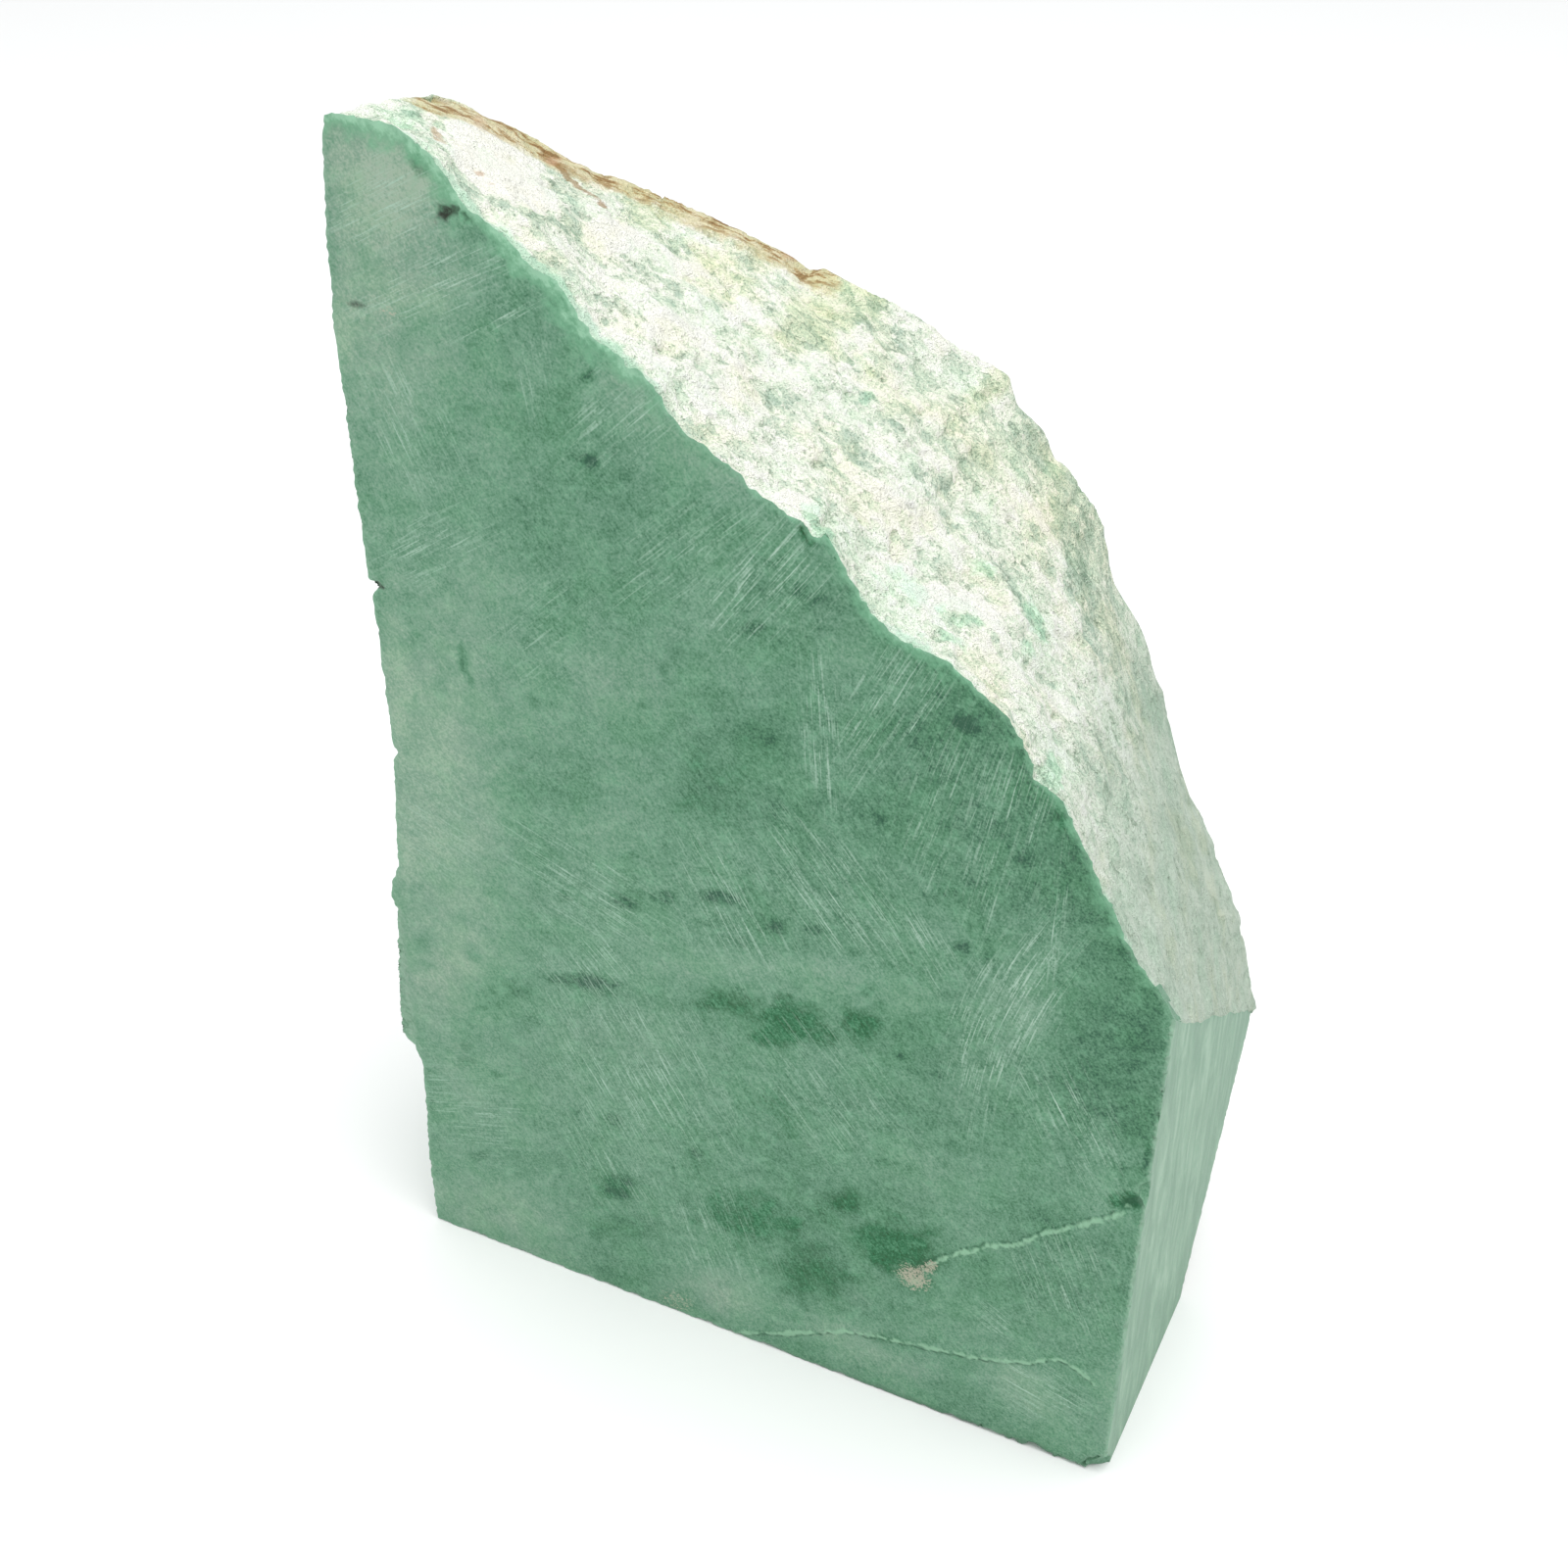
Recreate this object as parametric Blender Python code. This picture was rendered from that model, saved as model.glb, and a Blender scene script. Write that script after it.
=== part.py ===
"""Raw jade boulder, saw-cut: one solid stone.

The stone is a block sawn from a weathered jade boulder. The large front face, the base, the
right side and the left side are saw cuts. The sloping roof and the back keep the boulder's
rough rind. Part frame: metres, +Z up, the large sawn face looks along -Y, and the origin lies
on the base, under the middle of the stone's box.

All shape numbers below are millimetres in block coordinates: x from the left end of the
front base edge, y from the front face into the stone, z up from the base.
"""

import math

import bpy
import bmesh
from mathutils import Vector, noise

MM = 0.001
NODE_NAME = "jade_boulder"

# ---- driving dimensions (mm) ------------------------------------------------------------
BASE_WIDTH = 75.0        # front base edge, left wall to right wall
WAFER = 4.0              # how far the uncut body reaches past every saw cut
BLOCK_TOP = 130.0        # the saw block is open above the stone
BLOCK_DEPTH = 60.0       # and open behind it

STATION_STEP = 1.55      # distance between body sections, along the front ridge
ROOF_STEPS = 23          # points across the roof, front ridge to back edge
BACK_STEPS = 27          # points down the back, back edge to base
WALL_STEP = 5.0          # distance between the depth lines of the left wall

# Front ridge, where the sawn front face meets the rind: (x, z)
FRONT_RIDGE = (
    (-4.0, 118.4), (1.1, 119.1), (6.4, 119.2), (8.9, 117.8), (10.3, 117.0), (11.4, 114.9),
    (13.1, 113.4), (15.4, 112.3), (18.3, 109.9), (20.4, 109.4), (21.3, 107.8), (22.8, 105.7),
    (26.0, 104.0), (28.5, 102.6), (29.5, 100.7), (31.1, 99.1), (34.9, 97.4), (37.0, 95.5),
    (39.5, 94.4), (43.3, 93.5), (44.4, 91.3), (46.7, 87.8), (48.5, 86.3), (53.8, 84.9),
    (57.6, 82.2), (59.3, 80.9), (60.9, 78.3), (61.7, 76.7), (63.7, 75.4), (65.3, 72.7),
    (67.3, 68.6), (69.3, 65.4), (70.6, 62.7), (73.1, 60.1), (74.9, 57.4), (79.0, 51.0),
)

# Back edge of the roof: (x, y, z)
BACK_EDGE = (
    (-4.0, 12.0, 119.0), (0.0, 15.0, 117.2), (5.0, 19.0, 113.5), (10.0, 21.5, 110.1),
    (20.0, 26.0, 105.6), (28.0, 29.2, 101.8), (34.0, 31.0, 99.8), (40.0, 32.5, 96.4),
    (44.0, 33.0, 94.6), (46.6, 33.2, 91.6), (50.0, 34.0, 87.6), (53.4, 34.5, 83.4),
    (55.7, 35.0, 78.4), (58.7, 35.5, 71.4), (61.5, 36.0, 65.3), (64.0, 36.0, 58.6),
    (68.8, 36.3, 49.6), (72.4, 36.8, 40.2), (75.0, 37.7, 29.8), (79.0, 38.5, 18.0),
)

# Roll-off: how the roof falls from ridge to back edge. 1 is a straight slope, more stays
# level first and then turns down: (x, exponent)
ROOF_ROLL = (
    (-4.0, 1.2), (20.0, 1.0), (40.0, 1.2), (52.0, 1.7), (62.0, 1.8), (70.0, 1.25), (75.0, 0.95),
    (79.0, 0.95),
)

# Depth of the back at six heights, from the back edge (first) down to the base (last)
BACK_DEPTH = (
    (-4.0, (12.0, 21.5, 27.0, 30.0, 29.0, 21.5)),
    (0.0, (15.0, 23.0, 28.0, 31.0, 30.0, 22.5)),
    (40.0, (32.5, 35.5, 37.3, 38.0, 35.0, 26.5)),
    (60.0, (35.7, 37.6, 38.4, 37.8, 33.5, 26.0)),
    (75.0, (37.7, 35.3, 32.7, 30.2, 27.6, 25.0)),
    (79.0, (38.5, 34.5, 31.5, 29.0, 26.6, 24.4)),
)

# Left wall of the saw block, seen from the front: (z, x). Two cuts, offset from each other,
# with a snapped band between them that stands proud of both.
LEFT_WALL = (
    (119.0, 0.2), (117.0, -0.2), (108.5, -0.9), (101.0, -1.0), (91.5, -0.7), (84.4, -0.5),
    (78.6, -0.2), (77.8, 0.6), (76.8, 0.0), (65.7, 0.4), (61.7, 0.5), (60.6, 0.9), (59.6, 0.4),
    (53.0, 0.0), (47.2, -0.3), (45.3, -1.1), (43.2, -1.6), (41.5, -1.2), (37.8, -1.4),
    (32.7, -1.7), (28.1, -2.2), (25.4, -2.2), (24.5, -0.6), (22.4, 0.1), (16.3, 0.0),
    (7.7, -0.3), (0.0, 0.0),
)
SNAPPED_BAND = (24.0, 46.5)      # z range of the snapped band
SNAPPED_SIZE, SNAPPED_HEIGHT = 6.0, 0.9
SNAPPED_EDGE = 4.0               # its roughness fades this close to the cuts
SAWN_SIZE, SAWN_WANDER = 8.0, 0.12
WALL_FADE = 6.0                  # the wall's relief starts this far behind the front face
WALL_SEED = 3.7                  # place of the wall's relief in the noise field

# Relief of the rind
LUMP_SIZE, LUMP_HEIGHT = 12.0, 0.65
KNOB_SIZE, KNOB_HEIGHT = 3.8, 0.42
LEDGE_SPACING, LEDGE_HEIGHT = 5.2, 0.42
LEDGE_SLANT = 0.22               # the ledges run nearly along the ridge
LEDGE_BEND_SIZE, LEDGE_BEND = 17.0, 1.6
RISER_SHARE = 0.28               # share of a ledge's spacing that is its step
PIT_SPACING, PIT_DEPTH = 6.5, 0.6
PIT_RADIUS = 0.34                # of the pit spacing
RIDGE_FADE = 3.5                 # the relief starts this far behind the front ridge
RIDGE_REACH = 5.0                # the ridge's own steps die out this far into the roof
RIDGE_SMOOTHING = 5.5            # half width of the mean that the roof keeps of the ridge
CALM_TOP, CALM_BASE = 82.0, 60.0  # the rind grows smoother from the first height to the second
CALM_LEFT, CALM_RIGHT = 48.0, 64.0  # and from the first x to the second
CALM_DEPTH, CALM_END = 34.0, 70.0  # behind this depth the back is rough again, up to this x
CALM_RELIEF = 0.3                # share of the relief that is left there

# Chips broken from the sawn edges: (centre, half sizes, lean of the x half size)
CHIPS = (
    ((75.6, -0.2, -0.4), (2.6, 2.2, 3.4), 0.5),       # bottom right corner
    ((71.0, -0.6, -0.5), (2.4, 1.3, 1.0), 0.2),
    ((64.5, -0.5, -0.6), (3.0, 1.1, 1.0), -0.3),
    ((75.5, -0.4, 37.5), (1.2, 1.5, 1.9), 0.6),       # notch at the upper vein
    ((75.6, -0.5, 48.0), (0.9, 1.2, 2.6), -0.2),
    ((42.3, -0.6, 94.4), (1.0, 1.7, 1.6), 0.8),       # notch in the front ridge
    ((62.3, -0.7, 77.6), (1.3, 1.5, 1.7), 0.4),
    ((26.5, -0.8, 104.6), (1.2, 1.6, 1.3), 0.0),
)

SHARP_ANGLE = 35.0               # degrees; sawn edges stay sharp, the rind is shaded smooth

JADE_COLOUR = (0.17, 0.33, 0.22, 1.0)
JADE_ROUGHNESS = 0.55


# ---- tables read as curves --------------------------------------------------------------
def bracket(table, t):
    """Rows on each side of t and the share of the way between them."""
    for low, high in zip(table, table[1:]):
        if t <= high[0]:
            break
    share = (t - low[0]) / (high[0] - low[0])
    return low, high, min(max(share, 0.0), 1.0)


def read(table, t, column=1):
    """Straight-line value of one column of a table at t."""
    low, high, share = bracket(table, t)
    return low[column] + (high[column] - low[column]) * share


def spline(values, t):
    """Smooth curve through evenly spaced values, t from 0 to 1."""
    last = len(values) - 1
    place = min(max(t, 0.0), 1.0) * last
    index = min(int(place), last - 1)
    f = place - index
    p1, p2 = values[index], values[index + 1]
    p0 = values[index - 1] if index > 0 else 2 * p1 - p2
    p3 = values[index + 2] if index + 2 <= last else 2 * p2 - p1
    bend = (p2 - p0) + (2 * p0 - 5 * p1 + 4 * p2 - p3) * f + (3 * (p1 - p2) + p3 - p0) * f * f
    return p1 + 0.5 * f * bend


# ---- the natural body -------------------------------------------------------------------
def station_places():
    """x of each body section, evenly spaced along the front ridge."""
    places = [FRONT_RIDGE[0][0]]
    x, z = FRONT_RIDGE[0]
    fine = 0.1
    travelled = 0.0
    while x < FRONT_RIDGE[-1][0]:
        x += fine
        new_z = read(FRONT_RIDGE, x)
        travelled += (fine ** 2 + (new_z - z) ** 2) ** 0.5
        z = new_z
        if travelled >= STATION_STEP:
            places.append(x)
            travelled = 0.0
    return places


def smooth_ridge(x):
    """Height of the front ridge without its small steps."""
    steps = 12
    low, high = FRONT_RIDGE[0][0], FRONT_RIDGE[-1][0]
    reach = min(RIDGE_SMOOTHING, x - low, high - x)
    places = [x + reach * (2.0 * i / steps - 1.0) for i in range(steps + 1)]
    return sum(read(FRONT_RIDGE, place) for place in places) / len(places)


def section(x):
    """Closed outline of the body in the plane of one x, as points, front to back."""
    ridge = read(FRONT_RIDGE, x)
    calm = smooth_ridge(x)
    edge_y = read(BACK_EDGE, x, 1)
    edge_z = read(BACK_EDGE, x, 2)
    roll = read(ROOF_ROLL, x)
    points = [(-WAFER, -WAFER), (-WAFER, ridge)]
    for i in range(ROOF_STEPS + 1):
        t = i / ROOF_STEPS
        y = edge_y * t
        start = calm + (ridge - calm) * math.exp(-y / RIDGE_REACH)
        points.append((y, start + (edge_z - start) * t ** roll))
    low, high, share = bracket(BACK_DEPTH, x)
    depths = [a + (b - a) * share for a, b in zip(low[1], high[1])]
    for i in range(1, BACK_STEPS + 1):
        t = i / BACK_STEPS
        points.append((spline(depths, t), edge_z * (1.0 - t)))
    points.append((depths[-1] - 0.4 * WAFER, -WAFER))
    return [Vector((x, y, z)) for y, z in points]


def smooth_share(t):
    """0 below 0, 1 above 1, and an even S-curve between."""
    t = min(max(t, 0.0), 1.0)
    return t * t * (3.0 - 2.0 * t)


def terrace(t):
    """Stair curve: flat treads with short steep risers."""
    whole = t // 1.0
    part = t - whole
    return whole + smooth_share((part - 1.0 + RISER_SHARE) / RISER_SHARE) - t


def rind_height(p):
    """Height of the rind's relief at a point of the body."""
    lumps = LUMP_HEIGHT * noise.fractal(p / LUMP_SIZE, 1.0, 2.0, 2)
    knobs = KNOB_HEIGHT * noise.fractal(p / KNOB_SIZE + Vector((7.1, 3.3, 1.9)), 1.0, 2.1, 2)
    bend = LEDGE_BEND * noise.noise(p / LEDGE_BEND_SIZE)
    ledges = LEDGE_HEIGHT * terrace((p.y + LEDGE_SLANT * p.x) / LEDGE_SPACING + bend)
    nearest = noise.voronoi(p / PIT_SPACING)[0][0]
    pits = -PIT_DEPTH * max(0.0, 1.0 - nearest / PIT_RADIUS) ** 0.7
    relief = lumps + knobs + ledges + pits
    lower = smooth_share((CALM_TOP - p.z) / (CALM_TOP - CALM_BASE))
    right = smooth_share((p.x - CALM_LEFT) / (CALM_RIGHT - CALM_LEFT))
    behind = smooth_share((p.y - CALM_DEPTH) / 3.0) * smooth_share((CALM_END - p.x) / 8.0)
    return relief * (1.0 - (1.0 - CALM_RELIEF) * lower * right * (1.0 - behind))


def natural_body():
    """The boulder's own rounded body, before any saw cut, as a closed mesh."""
    bm = bmesh.new()
    rings = []
    for x in station_places():
        rings.append([bm.verts.new(p) for p in section(x)])
    for first, second in zip(rings, rings[1:]):
        count = len(first)
        for i in range(count):
            j = (i + 1) % count
            bm.faces.new((first[i], first[j], second[j], second[i]))
    bm.faces.new(rings[0])
    bm.faces.new(list(reversed(rings[-1])))
    bmesh.ops.recalc_face_normals(bm, faces=bm.faces)
    bm.normal_update()
    moves = []
    for v in bm.verts:
        fade = min(max(v.co.y / RIDGE_FADE, 0.0), 1.0)
        moves.append((v, v.normal * (rind_height(v.co) * fade)))
    for v, move in moves:
        v.co += move
    return bm


# ---- the saw block ----------------------------------------------------------------------
def left_wall_x(y, z):
    """x of the left wall: two saw cuts and the snapped band between them."""
    place = Vector((WALL_SEED, y, z))
    fade = min(y / WALL_FADE, 1.0)
    low, high = SNAPPED_BAND
    if low < z < high:
        inside = min(min(z - low, high - z) / SNAPPED_EDGE, 1.0)
        rough = noise.fractal(place / SNAPPED_SIZE, 1.0, 2.0, 3)
        return SNAPPED_HEIGHT * rough * inside * fade
    return SAWN_WANDER * noise.noise(place / SAWN_SIZE) * fade


def saw_block():
    """The block that the saw cuts leave: flat front, base and right side, worked left wall."""
    bm = bmesh.new()
    rings = []
    steps = int(BLOCK_DEPTH / WALL_STEP)
    for i in range(steps + 1):
        y = i * WALL_STEP
        ring = [bm.verts.new((LEFT_WALL[0][1], y, BLOCK_TOP))]
        for z, x in LEFT_WALL:
            ring.append(bm.verts.new((x + left_wall_x(y, z), y, z)))
        ring.append(bm.verts.new((BASE_WIDTH, y, 0.0)))
        ring.append(bm.verts.new((BASE_WIDTH, y, BLOCK_TOP)))
        rings.append(ring)
    for first, second in zip(rings, rings[1:]):
        count = len(first)
        for i in range(count):
            j = (i + 1) % count
            bm.faces.new((first[i], first[j], second[j], second[i]))
    bm.faces.new(rings[0])
    bm.faces.new(list(reversed(rings[-1])))
    bmesh.ops.recalc_face_normals(bm, faces=bm.faces)
    return bm


def chip_cutters():
    """Lumpy stones of air that break small chips from the sawn edges."""
    bm = bmesh.new()
    for centre, half, turn in CHIPS:
        made = bmesh.ops.create_icosphere(bm, subdivisions=2, radius=1.0)["verts"]
        for v in made:
            rough = 1.0 + 0.25 * noise.noise(v.co * 1.7 + Vector(centre))
            v.co = Vector((v.co.x * half[0], v.co.y * half[1], v.co.z * half[2])) * rough
        spin = Vector((1.0, 0.0, 0.0)).rotation_difference(Vector((1.0, turn, 0.3 * turn)))
        bmesh.ops.rotate(bm, verts=made, cent=(0, 0, 0), matrix=spin.to_matrix())
        bmesh.ops.translate(bm, verts=made, vec=centre)
    return bm


# ---- objects ----------------------------------------------------------------------------
def add_object(name, bm):
    """Object made from a bmesh given in millimetres."""
    bmesh.ops.scale(bm, vec=(MM, MM, MM), verts=bm.verts)
    mesh = bpy.data.meshes.new(name)
    bm.to_mesh(mesh)
    bm.free()
    obj = bpy.data.objects.new(name, mesh)
    bpy.context.collection.objects.link(obj)
    return obj


def cut(stone, cutter, operation):
    """Exact Boolean on the stone; the cutter stays as a guide."""
    cutter.hide_render = True
    cutter.display_type = "WIRE"
    modifier = stone.modifiers.new(operation.title() + " " + cutter.name, "BOOLEAN")
    modifier.operation = operation
    modifier.solver = "EXACT"
    modifier.object = cutter


def jade_material():
    """Plain sawn jade."""
    material = bpy.data.materials.new("jade")
    material.use_nodes = True
    shader = material.node_tree.nodes["Principled BSDF"]
    shader.inputs["Base Color"].default_value = JADE_COLOUR
    shader.inputs["Roughness"].default_value = JADE_ROUGHNESS
    shader.inputs["Metallic"].default_value = 0.0
    material.diffuse_color = JADE_COLOUR
    return material


def apply_cuts(stone):
    """Replace the stone's mesh by its cut shape and remove the guides."""
    bpy.context.view_layer.update()
    seen = stone.evaluated_get(bpy.context.evaluated_depsgraph_get())
    mesh = bpy.data.meshes.new_from_object(seen)
    cutters = [m.object for m in stone.modifiers]
    stone.modifiers.clear()
    stone.data = mesh
    mesh.name = stone.name
    mesh.shade_smooth()
    mesh.set_sharp_from_angle(angle=math.radians(SHARP_ANGLE))
    for cutter in cutters:
        bpy.data.objects.remove(cutter, do_unlink=True)


def centre_on_base(stone):
    """Shift the mesh so that the origin is under the middle of its box."""
    points = [v.co for v in stone.data.vertices]
    low = Vector([min(p[i] for p in points) for i in range(3)])
    high = Vector([max(p[i] for p in points) for i in range(3)])
    shift = Vector((-(low.x + high.x) / 2, -(low.y + high.y) / 2, -low.z))
    for v in stone.data.vertices:
        v.co += shift


def main():
    for obj in list(bpy.data.objects):
        bpy.data.objects.remove(obj, do_unlink=True)
    stone = add_object(NODE_NAME, natural_body())
    stone.data.materials.append(jade_material())
    cut(stone, add_object("saw_block", saw_block()), "INTERSECT")
    cut(stone, add_object("chips", chip_cutters()), "DIFFERENCE")
    apply_cuts(stone)
    centre_on_base(stone)


main()
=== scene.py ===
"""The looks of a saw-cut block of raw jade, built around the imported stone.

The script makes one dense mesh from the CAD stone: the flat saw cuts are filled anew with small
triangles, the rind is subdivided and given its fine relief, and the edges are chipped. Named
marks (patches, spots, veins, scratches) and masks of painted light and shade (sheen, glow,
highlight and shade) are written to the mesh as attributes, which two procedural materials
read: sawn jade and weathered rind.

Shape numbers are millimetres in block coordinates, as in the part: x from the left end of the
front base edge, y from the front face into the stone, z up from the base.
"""

import math
import random

import bmesh
import bpy
import numpy as np
from mathutils import Matrix, Vector, geometry, kdtree, noise


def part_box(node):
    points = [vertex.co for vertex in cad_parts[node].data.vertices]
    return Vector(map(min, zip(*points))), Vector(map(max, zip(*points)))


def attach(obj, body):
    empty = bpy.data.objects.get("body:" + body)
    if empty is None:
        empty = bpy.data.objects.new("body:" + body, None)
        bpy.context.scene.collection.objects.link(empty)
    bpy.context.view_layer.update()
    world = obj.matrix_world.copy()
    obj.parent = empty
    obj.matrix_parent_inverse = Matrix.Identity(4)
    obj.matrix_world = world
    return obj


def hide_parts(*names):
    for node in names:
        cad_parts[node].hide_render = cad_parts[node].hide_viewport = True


MM = 0.001
NODE = "jade_boulder"
BASE_WIDTH = 75.0
SAWN, LEFT, RIND, CHIP = 0, 1, 2, 3          # regions of the mesh

# ---- how the faces of the CAD stone are sorted into regions
ON_PLANE = 0.03                     # a point this near a saw plane lies in it
FACING = 0.98                       # a face looks along an axis if its normal reaches this far
WALL_DEPTH = 33.0                   # the left side is sawn in front of this depth, and below
WALL_TOP, WALL_FALL = 127.0, 0.9    # the line z = WALL_TOP - WALL_FALL * y; the rest is rind
WALL_REACH, BAND_REACH = 1.7, 0.8   # how far in x the left side reaches, and its snapped band
BAND_LOW, BAND_HIGH = 22.0, 48.5    # heights between which faces belong to the snapped band
BEVEL_DEPTH, BEVEL_WIDTH, BEVEL_HEIGHT = 2.4, 2.0, 3.5      # worn bevels: right edge and foot

# ---- mesh density: longest edge in mm
EDGE_OUTLINE, EDGE_ROOF, EDGE_LEFT, EDGE_BACK = 0.42, 0.53, 1.5, 2.3
ROOF_FRINGE, LEFT_FRINGE = 2.0, 1.5     # this near the front they are as fine as its outline
BACK_DEPTH, BACK_BELOW = 18.0, 4.0      # the back begins this deep and this far below the roof
# Back edge of the roof: a straight fall in z up to x = ROOF_BEND, and a growing one after it.
ROOF_TOP, ROOF_FALL = 118.0, 0.52
ROOF_BEND, BEND_TOP, BEND_FALL, BEND_CURVE = 42.0, 96.0, 0.25, 0.052
FILL_STEP, FILL_ROW, FILL_SHAKE = 0.37, 0.9, 0.16   # flat fill: step, row distance and shake
FILL_FINE, FILL_GAP = 1.3, 0.22         # fine this near the outline, and free this near it
VEIN_FINE, VEIN_REACH = 0.9, 4.0        # fine this near a vein, which has no effect past this
SHARP_ANGLE = 48.0                      # edges that turn by more degrees are shaded sharp

# ---- marks on the front face: (x, z, half length, half width, turn in degrees, strength)
EMERALD = (
    (34.5, 43.5, 5.5, 1.3, 20, 0.6), (41, 43.5, 4.5, 2.5, 25, 1), (47.5, 45.5, 2.5, 1.8, 55, 0.8),
    (52.5, 20.5, 5, 3, 40, 1), (47, 24, 2.5, 1.6, 35, 0.8), (37.5, 17.5, 6.5, 3.5, 20, 0.7),
    (33, 66.5, 4.5, 3.5, 55, 0.3), (31, 64.5, 0.9, 0.6, 65, 0.5), (37, 71.5, 4.5, 1.9, 15, 0.2),
    (39.5, 33, 2.5, 2, 30, 0.4), (41, 30.5, 2, 1, 30, 0.4), (44, 13, 5, 3.5, 45, 0.6),
    (41, 9, 2.5, 1.5, 60, 0.4), (64, 73.5, 1.1, 1, -15, 0.6), (73.5, 36, 2, 1, 35, 1),
    (74.5, 42.5, 1.5, 0.4, -85, 0.6), (74.5, 34.5, 1, 0.7, 75, 0.5), (52, 8, 1.7, 0.9, 40, 0.4),
    (70.5, 10, 1.9, 1.3, 20, 0.3), (5.5, 26, 2.5, 1.6, 65, 0.3), (18, 97.5, 6.5, 1.7, 10, 0.2),
    (55, 63.5, 1.2, 0.9, 50, 0.3), (41.5, 93, 1.2, 0.5, -65, 0.9), (21.5, 14.5, 5.5, 3, 40, 0.3),
    (34.5, 43, 4.5, 1.5, 25, 0.3), (8.5, 116.5, 1, 0.8, -45, 0.6),
)
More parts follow.
